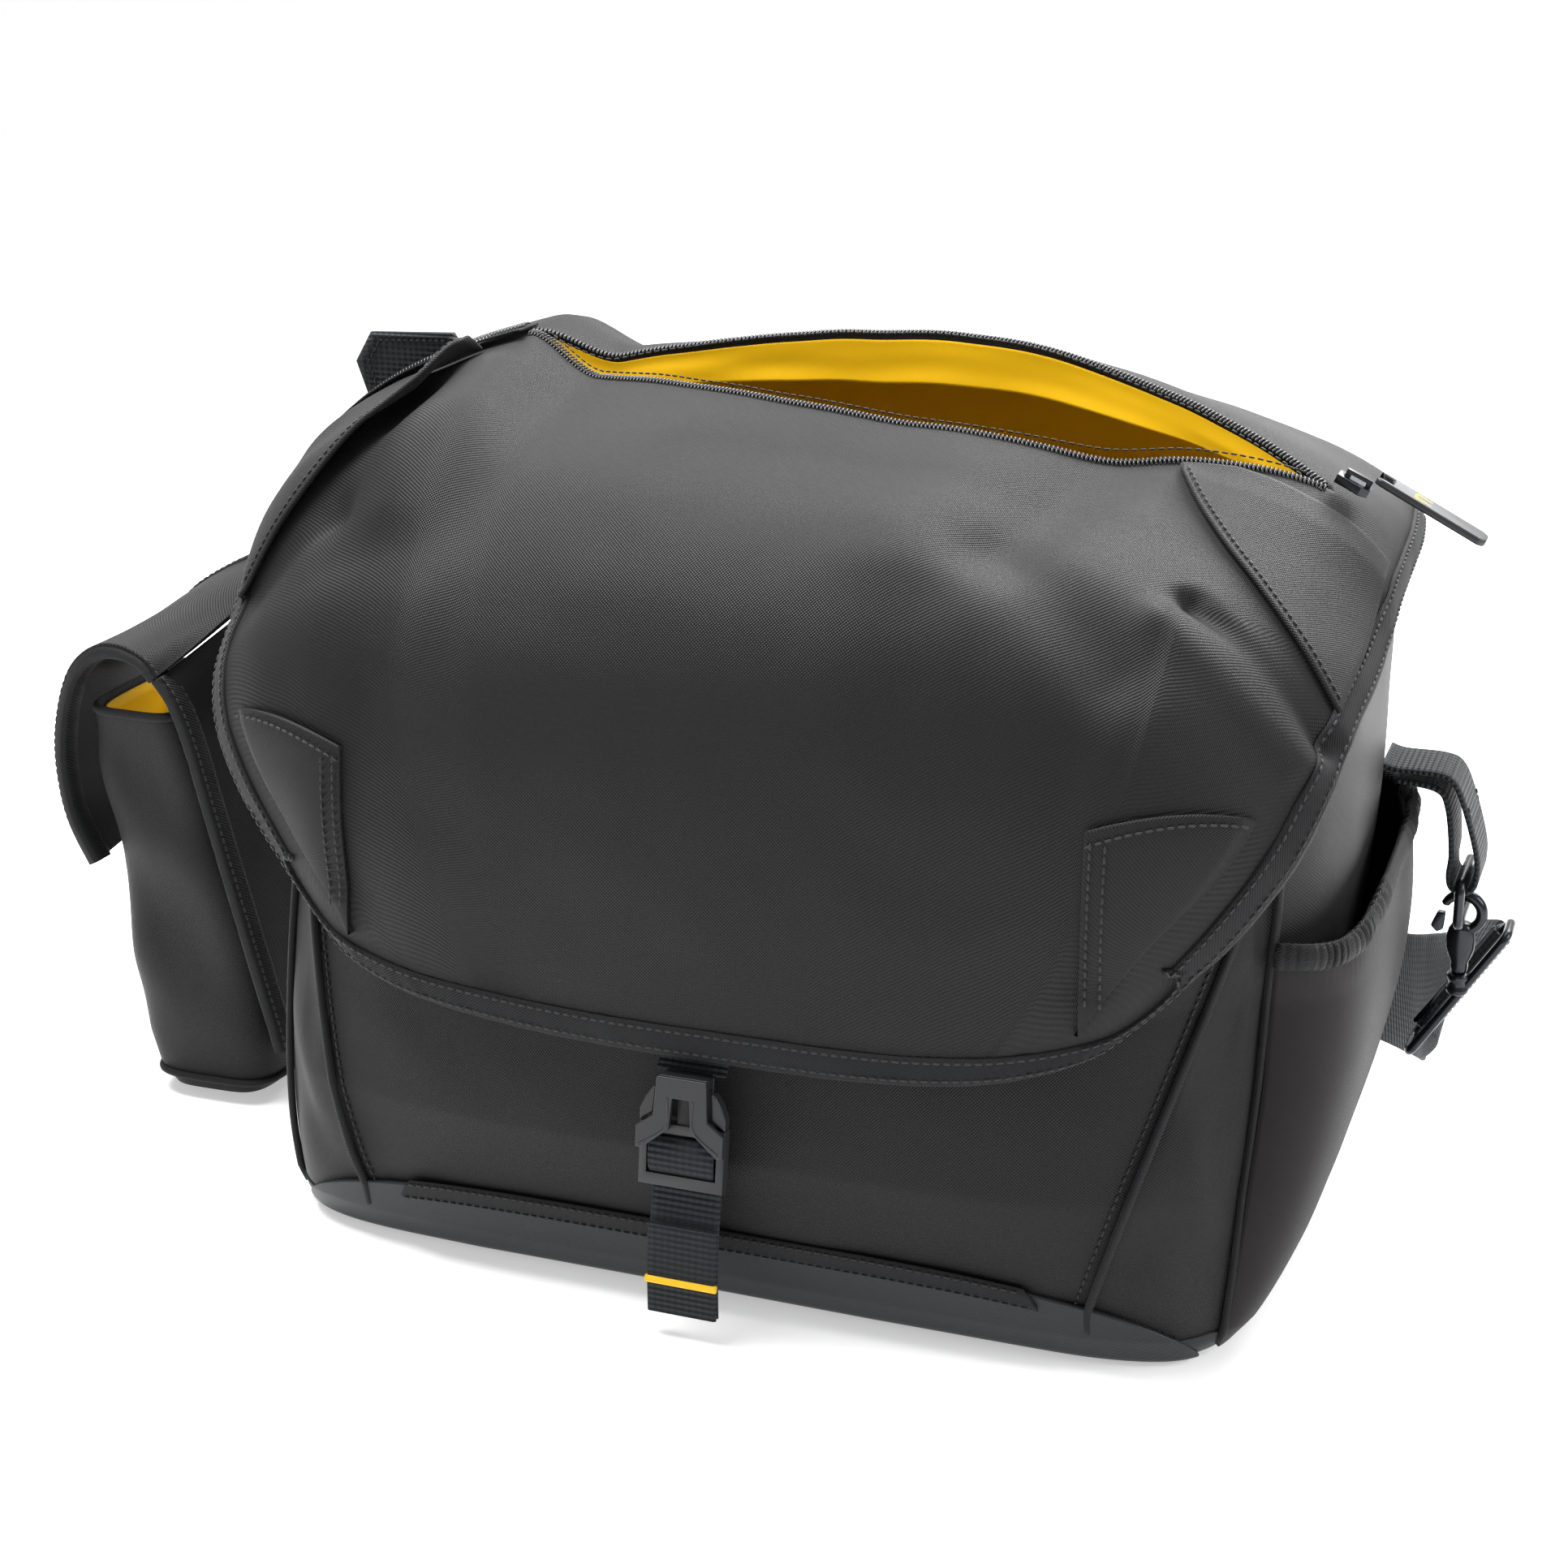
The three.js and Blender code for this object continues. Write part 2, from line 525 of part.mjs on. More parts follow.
// ---- Shoulder strap and its hardware ------------------------------------------------------
function buildHardware(side, sign) {
  const hanger = new THREE.Group();
  hanger.position.set(0, HARDWARE_Y, 0);
  hanger.scale.x = sign;
  bag.add(hanger);
  const eye = new THREE.Shape();
  eye.moveTo(196, 160);
  eye.lineTo(213, 160);
  eye.lineTo(221, 155);
  eye.lineTo(HARDWARE_X + 4.4, 128);
  eye.lineTo(HARDWARE_X + 4.4, RING_Z);
  eye.absarc(HARDWARE_X, RING_Z, 4.4, 0, -Math.PI, true);
  eye.lineTo(HARDWARE_X - 4.4, 127);
  eye.lineTo(218, 150);
  eye.lineTo(211, 156.4);
  eye.lineTo(196, 156.4);
  eye.holes.push(new THREE.Path().absarc(HARDWARE_X, RING_Z, WIRE + 0.6, 0, 2 * Math.PI, false));
  const loop = extruded(eye, WEBBING - 1, 5).rotateX(Math.PI / 2).translate(0, (WEBBING - 1) / 2, 0);
  add(`anchor_loop_${side}`, loop, webbing, hanger);

  const [reach, low, x] = [15.4, RING_Z - RING_DROP, HARDWARE_X];
  const ring = [V(x, -reach, RING_Z), V(x, reach, RING_Z), V(x, reach, low), V(x, -reach, low)];
  add(`ring_${side}`, wireLoop(ring, 3.4, WIRE), steel, hanger);

  // Trigger hook: an eye that is open at the gate, on a short body that turns on its swivel.
  const claw = [];
  for (let k = 0; k <= 10; k++) {
    const angle = THREE.MathUtils.degToRad(mix(-62, 158, k / 10));
    claw.push(V(x + 6.8 * Math.cos(angle), 0, HOOK_Z + 6.8 * Math.sin(angle)));
  }
  const trunk = outline([[x - 5.5, HOOK_Z - 8.2], [x + 5.4, HOOK_Z - 4.6], [x + 5.4, 90], [x + 3, 82],
    [x - 3, 82], [x - 5.5, 90]]);
  const hook = join(wire(claw, 2.1, 4, 12), extruded(trunk, 6).rotateX(Math.PI / 2).translate(0, 3, 0));
  add(`hook_${side}`, hook, steel, hanger);
  const gate = outline([[x - 8.8, HOOK_Z - 0.4], [x - 5.9, HOOK_Z - 0.4], [x - 6.4, HOOK_Z - 7],
    [x - 8.6, HOOK_Z - 8.4], [x - 11, HOOK_Z - 6]]);
  add(`gate_${side}`, extruded(gate, 3.2).rotateX(Math.PI / 2).translate(0, 1.6, 0), steel, hanger);

  // Swivel collar and the wide wire loop that takes the shoulder strap.
  const along = V(Math.sin(LOOP_TILT), 0, Math.cos(LOOP_TILT));
  const corner = (a, y) => V(x, y, LOOP_Z).addScaledVector(along, a);
  const long = STRAP_WIDE / 2 + 5;
  const bars = wireLoop([corner(-long, 0), corner(long, 0), corner(long, 16), corner(-long, 16)], 3.6, WIRE);
  const collar = new THREE.CylinderGeometry(4, 4, 8, 10).rotateX(Math.PI / 2).translate(x, 0, 77.5);
  add(`strap_loop_${side}`, join(bars, collar), steel, hanger);
}

function buildStrap() {
  const y0 = HARDWARE_Y + 16 + 5.2;
  const half = [[HARDWARE_X, y0, LOOP_Z], [221, 98, 66], [213, 114, 52], [206, 135, 40],
    [198, 155, 31], [182, 174, 26.2], [160, 185.5, 25.4], [139, 193, 25.4], [118, 200.5, 25.4],
    [90, 207, 25.4], [50, 209, 25.4]];
  const path = [...half, [0, 209.5, 25.4], ...half.slice().reverse().map(([x, y, z]) => [-x, y, z])];
  const curve = new THREE.CatmullRomCurve3(path.map((p) => V(...p)), false, 'centripetal');
  const lean = (t) => {
    const end = Math.min(t, 1 - t);
    const tilt = LOOP_TILT * Math.max(0, 1 - end / 0.16);
    return V(Math.sin(tilt) * (t < 0.5 ? 1 : -1), 0, Math.cos(tilt));
  };
  add('shoulder_strap', band(curve, lean, STRAP_WIDE, STRAP_THICK, 64), webbing);

  // Folds of the strap round the far bars of the two wire loops.
  for (const [side, sign] of [['right', 1], ['left', -1]]) {
    const fold = new THREE.Shape();
    const [inner, outer] = [WIRE + 0.9, WIRE + 2.7];
    fold.absarc(0, 0, outer, -Math.PI, 0, false);
    fold.lineTo(1.4, 4.8);
    fold.lineTo(-1.4, 4.8);
    fold.holes.push(new THREE.Path().absarc(0, 0, inner, 0, 2 * Math.PI, false));
    const piece = extruded(fold, STRAP_WIDE - 2, 5).translate(0, 0, 1 - STRAP_WIDE / 2)
      .rotateY(LOOP_TILT).translate(HARDWARE_X, HARDWARE_Y + 16, LOOP_Z);
    add(`strap_fold_${side}`, piece, webbing).scale.x = sign;
  }

  const middle = new THREE.CatmullRomCurve3([[88, 213.4], [50, 215.2], [0, 215.7], [-50, 215.2],
    [-88, 213.4]].map(([x, y]) => V(x, y, 30.4)), false, 'centripetal');
  add('shoulder_pad', band(middle, () => V(0, 0, 1), 60, 8, 14), padding);

  // Adjuster on the straight stretch, a frame with a slot that the webbing runs through.
  const adjuster = new THREE.Group();
  adjuster.position.set(139, 193, 27.4);
  adjuster.rotation.z = Math.atan2(-7.5, 21);
  bag.add(adjuster);
  const plate = block(-7, 7, -3.6, 3.6, -26.9, 30);
  add('strap_adjuster', cut(plate, block(-8, 8, -1.6, 1.6, -27.6, 25)), plastic, adjuster);
}

buildBody();
buildStretchPocket();
buildFlap();
buildZip();
buildBuckle();
buildPouch();
for (const [side, sign] of [['right', 1], ['left', -1]]) buildHardware(side, sign);
buildStrap();

export default bag;
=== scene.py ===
"""Looks of the camera shoulder bag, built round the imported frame.

Shapes are worked out in millimetres in the frame's axes (X right, -Y front, +Z up);
new_piece() turns them into metres.
"""

from math import cos, exp, hypot, pi, radians, sin, sqrt

import bmesh
import bpy
from mathutils import Matrix, Vector, noise


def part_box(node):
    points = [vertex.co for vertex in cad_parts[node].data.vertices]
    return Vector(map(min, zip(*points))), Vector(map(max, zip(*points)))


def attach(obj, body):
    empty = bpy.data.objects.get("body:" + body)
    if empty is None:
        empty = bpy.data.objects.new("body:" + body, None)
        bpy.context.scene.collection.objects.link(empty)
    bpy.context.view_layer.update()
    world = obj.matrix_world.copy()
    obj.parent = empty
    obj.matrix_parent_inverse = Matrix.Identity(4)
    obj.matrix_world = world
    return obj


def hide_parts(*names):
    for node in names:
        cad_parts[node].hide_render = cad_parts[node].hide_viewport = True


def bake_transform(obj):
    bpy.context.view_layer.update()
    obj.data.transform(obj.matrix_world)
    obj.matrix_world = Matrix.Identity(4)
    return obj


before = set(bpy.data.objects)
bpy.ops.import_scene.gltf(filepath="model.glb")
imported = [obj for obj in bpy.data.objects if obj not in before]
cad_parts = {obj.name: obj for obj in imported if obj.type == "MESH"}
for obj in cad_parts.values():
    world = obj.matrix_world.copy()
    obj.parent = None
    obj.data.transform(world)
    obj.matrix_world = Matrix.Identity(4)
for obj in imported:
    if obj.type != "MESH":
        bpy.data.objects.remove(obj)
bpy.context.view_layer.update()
MM = 0.001

# ---- Driving dimensions, the same as the frame's -------------------------------------------
BACK_POWER = 6  # squareness of the body's back
WALL = 12  # padded wall
ZIP_Y = 27  # line of the zip on the flap
MOUTH_LEFT, MOUTH_RIGHT, MOUTH_HALF = -118, 176, 26  # ends of the open mouth, half its width
BUCKLE_FOOT = Vector((0, -123, 54))  # lower end of the buckle, which leans by BUCKLE_LEAN
BUCKLE_LEAN = -0.191
HARDWARE_X, HARDWARE_Y = 224, 68  # axis of the right ring and hook
RING_Z, RING_DROP = 121, 16  # upper bar of the ring, and its length
WIRE = 1.8  # radius of ring and loop wire
HOOK_Z = RING_Z - RING_DROP  # middle of the hook's claw
LOOP_Z, LOOP_TILT, LOOP_DEPTH = 72, 0.56, 16
POUCH_FRONT, POUCH_BACK, POUCH_TOP = -27, 45, 160

# Plan of the body by height: z, half width, front depth, back depth, front squareness.
BODY_STATIONS = [
    (0, 172, 98, 97, 8), (12, 177, 104, 100, 7), (35, 181, 110, 100, 5.4),
    (60, 184, 112, 99, 4.4), (95, 188, 106, 98, 3.6), (120, 190, 102, 97, 3.1),
    (150, 192, 100, 96, 3.1), (212, 193, 97, 95, 3.1), (240, 192, 94, 94, 3.1),
]
# Flap from hinge to front point: centre y, centre z, edge x, edge y, edge z, squareness.
FLAP_STATIONS = [
    (97, 250, 190, 92, 236, 2.5), (90, 284, 198, 84, 243, 2.15), (68, 301, 201, 64, 241, 1.85),
    (45, 306, 202, 42, 238, 1.85), (10, 300, 202, 8, 232, 1.85), (-28, 288, 202, -26, 221, 1.9),
    (-62, 268, 201, -52, 211, 2.2), (-90, 240, 198, -72, 196, 2.6),
    (-106, 205, 190, -84, 176, 3), (-113, 160, 172, -93, 150, 3), (-116, 98, 140, -100, 118, 2.6),
]


def mix(a, b, t):
    return a + (b - a) * t


def smooth(t):
    t = min(1.0, max(0.0, t))
    return t * t * (3 - 2 * t)


def bell(x, centre, width):
    """Smooth bump of height 1 at the centre."""
    return exp(-(((x - centre) / width) ** 2))


def spread(start, end, steps):
    """Evenly spaced values from start to end, both included."""
    return [mix(start, end, k / steps) for k in range(steps + 1)]


def bulge(c, power):
    """Signed power of a cosine or sine, which squares up a round outline."""
    return (1 if c > 0 else -1) * abs(c) ** power


def across(u):
    """Place across the flap, -1 to 1, of an evenly spaced share u; closer at the edges."""
    return sin((u - 0.5) * pi)


def curve_through(rows, place):
    """Catmull-Rom value at a fractional index of a list of rows."""
    k = min(len(rows) - 2, max(0, int(place)))
    t = place - k
    a, b, c, d = (rows[min(len(rows) - 1, max(0, k + i))] for i in (-1, 0, 1, 2))
    return [
        q + 0.5 * t * (r - p + t * (2 * p - 5 * q + 4 * r - s + t * (3 * (q - r) + s - p)))
        for p, q, r, s in zip(a, b, c, d)
    ]


def path_points(points, steps):
    """Points spaced evenly in index along a smooth curve through the given ones."""
    last = len(points) - 1
    return [Vector(curve_through(points, last * k / steps)) for k in range(steps + 1)]


# ---- The two driving surfaces --------------------------------------------------------------
def rim(phi, z, out=0.0):
    """Point on the body at plan angle phi in degrees (0 is +X, -90 the front)."""
    k = 0
    while k < len(BODY_STATIONS) - 2 and BODY_STATIONS[k + 1][0] < z:
        k += 1
    low, high = BODY_STATIONS[k], BODY_STATIONS[k + 1]
    share = min(1.0, max(0.0, (z - low[0]) / (high[0] - low[0])))
    half, front, back, square = (mix(a, b, share) for a, b in zip(low[1:], high[1:]))
    c, s = cos(radians(phi)), sin(radians(phi))
    power = 2 / (square if s < 0 else BACK_POWER)
    depth = (front if s < 0 else back) + out
    return Vector(((half + out) * bulge(c, power), depth * bulge(s, power), z))


def flap_row(v):
    """Flap station at v, from 0 at the hinge to 1 at the front point."""
    return curve_through(FLAP_STATIONS, v * (len(FLAP_STATIONS) - 1))


def flap_base(s, v):
    """Point of the undressed flap; its bound edge faces forward below the shoulders."""
    yc, zc, xe, ye, ze, power = flap_row(v)
    flare = smooth((v - 0.42) / 0.2)
    power += 0.5 * flare
    reach = 1 - 0.07 * flare
    rise = max(0.0, 1 - abs(s * reach) ** power) ** (1 / power)
    rest = max(0.0, 1 - reach ** power) ** (1 / power)
    rise = (rise - rest) / (1 - rest)
    return Vector(((xe - 2 * flare) * s, mix(ye - 3 * flare, yc, rise), mix(ze, zc, rise)))


def flap_normal(s, v):
    """Outward direction of the undressed flap."""
    step = 0.02
    inside = min(0.97, max(-0.97, s))
    sideways = flap_base(inside + step, v) - flap_base(inside - step, v)
    along = flap_base(inside, min(1, v + step)) - flap_base(inside, max(0, v - step))
    return along.cross(sideways).normalized()


# Soft creases of the flap: start, end, depth (negative for a ridge) and half width.
CREASES = [
    ((148, -56, 248), (192, -67, 208), 6.0, 4.5),
    ((140, -66, 244), (186, -77, 206), -3.2, 7),
    ((108, 2, 285), (86, -60, 262), 4.0, 15),
    ((86, -60, 262), (132, -84, 232), 3.5, 13),
    ((60, -20, 288), (50, -70, 262), -2.5, 18),
    ((-146, -6, 285), (-158, -50, 256), 4.5, 13),
    ((-158, -50, 256), (-186, -62, 226), 3.5, 10),
    ((-122, 0, 293), (-128, -60, 262), -3.0, 13),
    ((120, -96, 205), (128, -104, 140), 2.0, 9),
    ((-120, -96, 205), (-128, -104, 140), 2.0, 9),
]


def distance_to_segment(p, a, b):
    a, b = Vector(a), Vector(b)
    along = b - a
    t = min(1.0, max(0.0, (p - a).dot(along) / along.length_squared))
    return (p - a - along * t).length


def flap_relief(p):
    """How far folds and slack move the flap's cloth outward at a point."""
    depth = 0.0
    for start, end, size, width in CREASES:
        depth += size * exp(-((distance_to_segment(p, start, end) / width) ** 2))
    soft = noise.noise(p * 0.014 + Vector((3, 1, 7)))
    fine = noise.noise(p * 0.045)
    return 2.4 * soft + 0.5 * fine - depth


def flap_point(s, v, out=0.0):
    """The dressed flap: higher over its left shoulder, sagging at the mouth's front edge."""
    base = flap_base(s, v)
    top = smooth((base.y + 75) / 50) * smooth((104 - base.y) / 34)
    lift = 17 * smooth((-84 - base.x) / 34)
    lift += 3.0 * bell(base.x, 60, 60) * smooth((base.y - 30) / 20)
    sag = (10 * bell(base.x, 90, 60) + 7 * bell(base.x, 0, 60)) * smooth((36 - base.y) / 30)
    base.z += top * (lift - sag)
    return base + flap_normal(s, v) * (out + flap_relief(base))


def mouth_half(x):
    """Half the width of the open mouth at x."""
    t = (x - MOUTH_LEFT) / (MOUTH_RIGHT - MOUTH_LEFT)
    return 4 * MOUTH_HALF * t * (1 - t) if 0 < t < 1 else 0.0


def mouth_v(s, sign):
    """Flap parameter of the mouth's edge (sign -1 front, 1 back) at s across."""
    low, high = 0.2, 0.6
    for _ in range(26):
        v = (low + high) / 2
        base = flap_base(s, v)
        if base.y > ZIP_Y + sign * mouth_half(base.x):
            low = v
        else:
            high = v
    return low


# ---- Materials -----------------------------------------------------------------------------
def new_material(name):
    material = bpy.data.materials.new(name)
    material.use_nodes = True
    tree = material.node_tree
    return material, tree, tree.nodes["Principled BSDF"]


def math_node(tree, operation, a, b=None):
    node = tree.nodes.new("ShaderNodeMath")
    node.operation = operation
    for socket, value in zip(node.inputs, (a, b)):
        if value is None:
            continue
        if isinstance(value, (int, float)):
            socket.default_value = value
        else:
            tree.links.new(value, socket)
    return node.outputs[0]


def tint_node(tree, factor, dark, light):
    ramp = tree.nodes.new("ShaderNodeValToRGB")
    ramp.color_ramp.elements[0].color = (*dark, 1)
    ramp.color_ramp.elements[1].color = (*light, 1)
    tree.links.new(factor, ramp.inputs[0])
    return ramp.outputs[0]


def noise_node(tree, scale, detail=3.0, roughness=0.55):
    place = tree.nodes.new("ShaderNodeTexCoord")
    node = tree.nodes.new("ShaderNodeTexNoise")
    node.inputs["Scale"].default_value = scale
    node.inputs["Detail"].default_value = detail
    node.inputs["Roughness"].default_value = roughness
    tree.links.new(place.outputs["Object"], node.inputs["Vector"])
    return node.outputs["Fac"]


def bump_node(tree, height, shader, strength, distance):
    bump = tree.nodes.new("ShaderNodeBump")
    bump.inputs["Strength"].default_value = strength
    bump.inputs["Distance"].default_value = distance
    tree.links.new(height, bump.inputs["Height"])
    tree.links.new(bump.outputs[0], shader.inputs["Normal"])


def thread_waves(tree, pitch, pattern):
    """Height field of the weave from the piece's own cloth coordinates, which are metres."""
    uv = tree.nodes.new("ShaderNodeUVMap")
    uv.uv_map = "cloth"
    split = tree.nodes.new("ShaderNodeSeparateXYZ")
    tree.links.new(uv.outputs[0], split.inputs[0])
    turns = 2 * pi / (pitch * MM)
    x = math_node(tree, "MULTIPLY", split.outputs[0], turns)
    y = math_node(tree, "MULTIPLY", split.outputs[1], turns)
    if pattern == "twill":
        slant = math_node(tree, "ADD", x, math_node(tree, "MULTIPLY", y, 0.7))
        return math_node(tree, "SINE", slant)
    if pattern == "rib":
        fine = math_node(tree, "SINE", math_node(tree, "MULTIPLY", x, 0.8))
        rib = math_node(tree, "SINE", y)
        return math_node(tree, "ADD", rib, math_node(tree, "MULTIPLY", fine, 0.45))
    return math_node(tree, "MULTIPLY", math_node(tree, "SINE", x), math_node(tree, "SINE", y))


def woven(name, colour, pitch, rough, sheen, bump, pattern="plain", contrast=0.45, gloss=0.35):
    """Cloth with a thread pattern, uneven dye, softly worn patches and a sheen."""
    material, tree, shader = new_material(name)
    threads = thread_waves(tree, pitch, pattern)
    cloudy = noise_node(tree, 9.0, 4.0)
    fuzz = noise_node(tree, 900.0, 2.0)
    level = math_node(tree, "MULTIPLY_ADD", threads, 0.25)
    level.node.inputs[2].default_value = 0.5
    level = math_node(tree, "ADD", level, math_node(tree, "MULTIPLY", cloudy, 0.35))
    level = math_node(tree, "ADD", level, math_node(tree, "MULTIPLY", fuzz, 0.25))
    level = math_node(tree, "SUBTRACT", level, 0.3)
    dark = tuple(c * (1 - contrast) for c in colour)
    light = tuple(min(1.0, c * (1 + contrast)) for c in colour)
    tree.links.new(tint_node(tree, level, dark, light), shader.inputs["Base Color"])
    worn = math_node(tree, "MULTIPLY_ADD", cloudy, 0.16)
    worn.node.inputs[2].default_value = rough - 0.08
    tree.links.new(worn, shader.inputs["Roughness"])
    shader.inputs["Sheen Weight"].default_value = sheen
    shader.inputs["Sheen Roughness"].default_value = 0.4
    shader.inputs["Specular IOR Level"].default_value = gloss
    height = math_node(tree, "ADD", threads, math_node(tree, "MULTIPLY", fuzz, 0.6))
    bump_node(tree, height, shader, bump, 0.0002)
    return material


def moulded(name, colour, rough, metallic=0.0, grain=700.0, bump=0.12, coat=0.0):
    """Hard surface with a fine moulded or plated grain and slightly rubbed places."""
    material, tree, shader = new_material(name)
    cloudy = noise_node(tree, 60.0, 4.0)
    fine = noise_node(tree, grain, 2.0)
    light = tuple(c * 1.6 + 0.004 for c in colour)
    tree.links.new(tint_node(tree, cloudy, colour, light), shader.inputs["Base Color"])
    rubbed = math_node(tree, "MULTIPLY_ADD", cloudy, 0.18)
    rubbed.node.inputs[2].default_value = rough - 0.09
    tree.links.new(rubbed, shader.inputs["Roughness"])
    shader.inputs["Metallic"].default_value = metallic
    shader.inputs["Coat Weight"].default_value = coat
    bump_node(tree, fine, shader, bump, 0.0002)
    return material


FABRIC = woven("woven_polyester", (0.0098, 0.0095, 0.0103), 1.15, 0.48, 0.035, 0.5, gloss=0.2)
BINDING = woven("twill_binding", (0.0065, 0.0068, 0.008), 0.9, 0.62, 0.05, 0.5, "twill", 0.5, 0.25)
COATED = woven("coated_cloth", (0.0135, 0.0165, 0.0190), 1.6, 0.42, 0.02, 0.25, contrast=0.15,
               gloss=0.3)
STRETCH = woven("stretch_jersey", (0.017, 0.0152, 0.0155), 0.6, 0.65, 0.1, 0.3, contrast=0.2,
                gloss=0.15)
WEBBING = woven("nylon_webbing", (0.013, 0.016, 0.018), 2.0, 0.6, 0.06, 1.0, "rib", 0.6, 0.2)
LINING = woven("yellow_lining", (0.86, 0.49, 0.004), 0.5, 0.6, 0.05, 0.2, contrast=0.08, gloss=0.1)
PADDING = woven("brushed_padding", (0.030, 0.031, 0.034), 0.8, 0.92, 0.25, 0.4, contrast=0.25)
THREAD = woven("stitch_thread", (0.016, 0.0165, 0.018), 0.5, 0.5, 0.1, 0.3)
PIPING = woven("yellow_piping", (0.84, 0.50, 0.01), 0.6, 0.55, 0.1, 0.3, contrast=0.15)
PLASTIC = moulded("black_acetal", (0.010, 0.0105, 0.012), 0.42)
STEEL = moulded("black_plated_steel", (0.022, 0.023, 0.026), 0.26, 0.85, 300.0, 0.05)
COIL = moulded("zip_coil_nylon", (0.012, 0.0125, 0.014), 0.3)


# ---- Making pieces -------------------------------------------------------------------------
def new_piece(name, points, faces, material, body, replaces=(), uv=None, flat=False):
    mesh = bpy.data.meshes.new(name)
    mesh.from_pydata([tuple(Vector(p) * MM) for p in points], [], faces)
    layer = mesh.uv_layers.new(name="cloth")
    for loop in mesh.loops:
        if uv:
            layer.data[loop.index].uv = uv[loop.vertex_index]
        else:
            p = mesh.vertices[loop.vertex_index].co
            layer.data[loop.index].uv = (p.x + 0.6 * p.y, p.z + 0.5 * p.y)
    mesh.polygons.foreach_set("use_smooth", [not flat] * len(mesh.polygons))
    mesh.materials.append(material)
    piece = bpy.data.objects.new(name, mesh)
    bpy.context.scene.collection.objects.link(piece)
    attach(piece, body)
    if replaces:
        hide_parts(*replaces)
    return piece


def thicken(piece, thickness, inward=True, levels=0):
    solid = piece.modifiers.new("thickness", "SOLIDIFY")
    solid.thickness = thickness * MM
    solid.offset = -1 if inward else 1
    solid.use_even_offset = False
    if levels:
        fine = piece.modifiers.new("fine", "SUBSURF")
        fine.levels = fine.render_levels = levels
    return piece


def cloth_places(grid):
    """Cloth coordinates in metres of a grid of points, measured along its rows and columns."""
    middle = len(grid[0]) // 2
    down = [[0.0] * len(grid[0])]
    for above, row in zip(grid, grid[1:]):
        down.append([d + (q - p).length * MM for d, p, q in zip(down[-1], above, row)])
    places = []
    for row, depths in zip(grid, down):
        across = [0.0]
        for p, q in zip(row, row[1:]):
            across.append(across[-1] + (q - p).length * MM)
        places += [(a - across[middle], d) for a, d in zip(across, depths)]
    return places


def sheet(name, point, columns, rows, material, body, replaces=(), thick=2.0, inward=True,
          levels=0):
    """Cloth panel from point(u, v); u runs to the right and v downward seen from outside."""
    grid = [[point(i / columns, j / rows) for i in range(columns + 1)] for j in range(rows + 1)]
    points = [p for row in grid for p in row]
    uv = cloth_places(grid)
    wide = columns + 1
    faces = [
        (j * wide + i, (j + 1) * wide + i, (j + 1) * wide + i + 1, j * wide + i + 1)
        for j in range(rows) for i in range(columns)
    ]
    piece = new_piece(name, points, faces, material, body, replaces, uv)
    return thicken(piece, thick, inward, levels) if thick else piece


def ring_faces(count, around, base=0, closed=False, capped=True, turned=False):
    """Faces of a skin over a number of rings, each of so many points; turned faces look inward."""
    faces = []
    for k in range(count if closed else count - 1):
        here, there = base + k * around, base + (k + 1) % count * around
        for i in range(around):
            n = (i + 1) % around
            a, b, c, d = here + i, here + n, there + n, there + i
            faces.append((a, d, c, b) if turned else (a, b, c, d))
    if capped and not closed:
        last = base + (count - 1) * around
        ends = [[base + i for i in range(around)], [last + i for i in range(around)]]
        ends[1 if turned else 0].reverse()
        faces += [tuple(end) for end in ends]
    return faces


def frames_along(points, hint, closed=False):
    """Tangent, side and up at each point of a path; hint(k) gives the rough side direction."""
    result = []
    count = len(points)
    for k, p in enumerate(points):
        before = points[(k - 1) % count] if closed else points[max(0, k - 1)]
        after = points[(k + 1) % count] if closed else points[min(count - 1, k + 1)]
        tangent = (after - before).normalized()
        side = Vector(hint(k))
        side = (side - tangent * side.dot(tangent)).normalized()
        result.append((p, tangent, side, tangent.cross(side)))
    return result


def swept(name, points, hint, section, material, body, replaces=(), closed=False):
    """Section of (side, up) pairs in millimetres swept along the points."""
    frames = frames_along(points, hint, closed)
    count, around = len(points), len(section)
    verts, uv = [], []
    edge = [0.0]
    for a, b in zip(section, section[1:]):
        edge.append(edge[-1] + hypot(b[0] - a[0], b[1] - a[1]) * MM)
    run = 0.0
    for k, (p, _, side, up) in enumerate(frames):
        if k:
            run += (p - points[k - 1]).length * MM
        for i, (a, b) in enumerate(section):
            verts.append(p + side * a + up * b)
            uv.append((edge[i], run))
    faces = ring_faces(count, around, closed=closed)
    return new_piece(name, verts, faces, material, body, replaces, uv)


def oval(a, b, sides):
    return [(a * cos(2 * pi * i / sides), b * sin(2 * pi * i / sides)) for i in range(sides)]


def strap_section(width, thick):
    """Webbing: flat with full rounded edges."""
    w, t = width / 2, thick / 2
    upper = [(mix(-w + t, w - t, i / 8), t) for i in range(9)]
    right = [(w - 0.3 * t, 0.6 * t), (w, 0), (w - 0.3 * t, -0.6 * t)]
    lower = [(x, -t) for x, _ in reversed(upper)]
    return upper + right + lower + [(-x, -y) for x, y in right]


def tube(name, points, radius, material, body, replaces=(), closed=False, hint=(0.3, 1, 0.2)):
    return swept(name, points, lambda k: hint, oval(radius, radius, 12), material, body,
                 replaces, closed)


STITCHES = {}


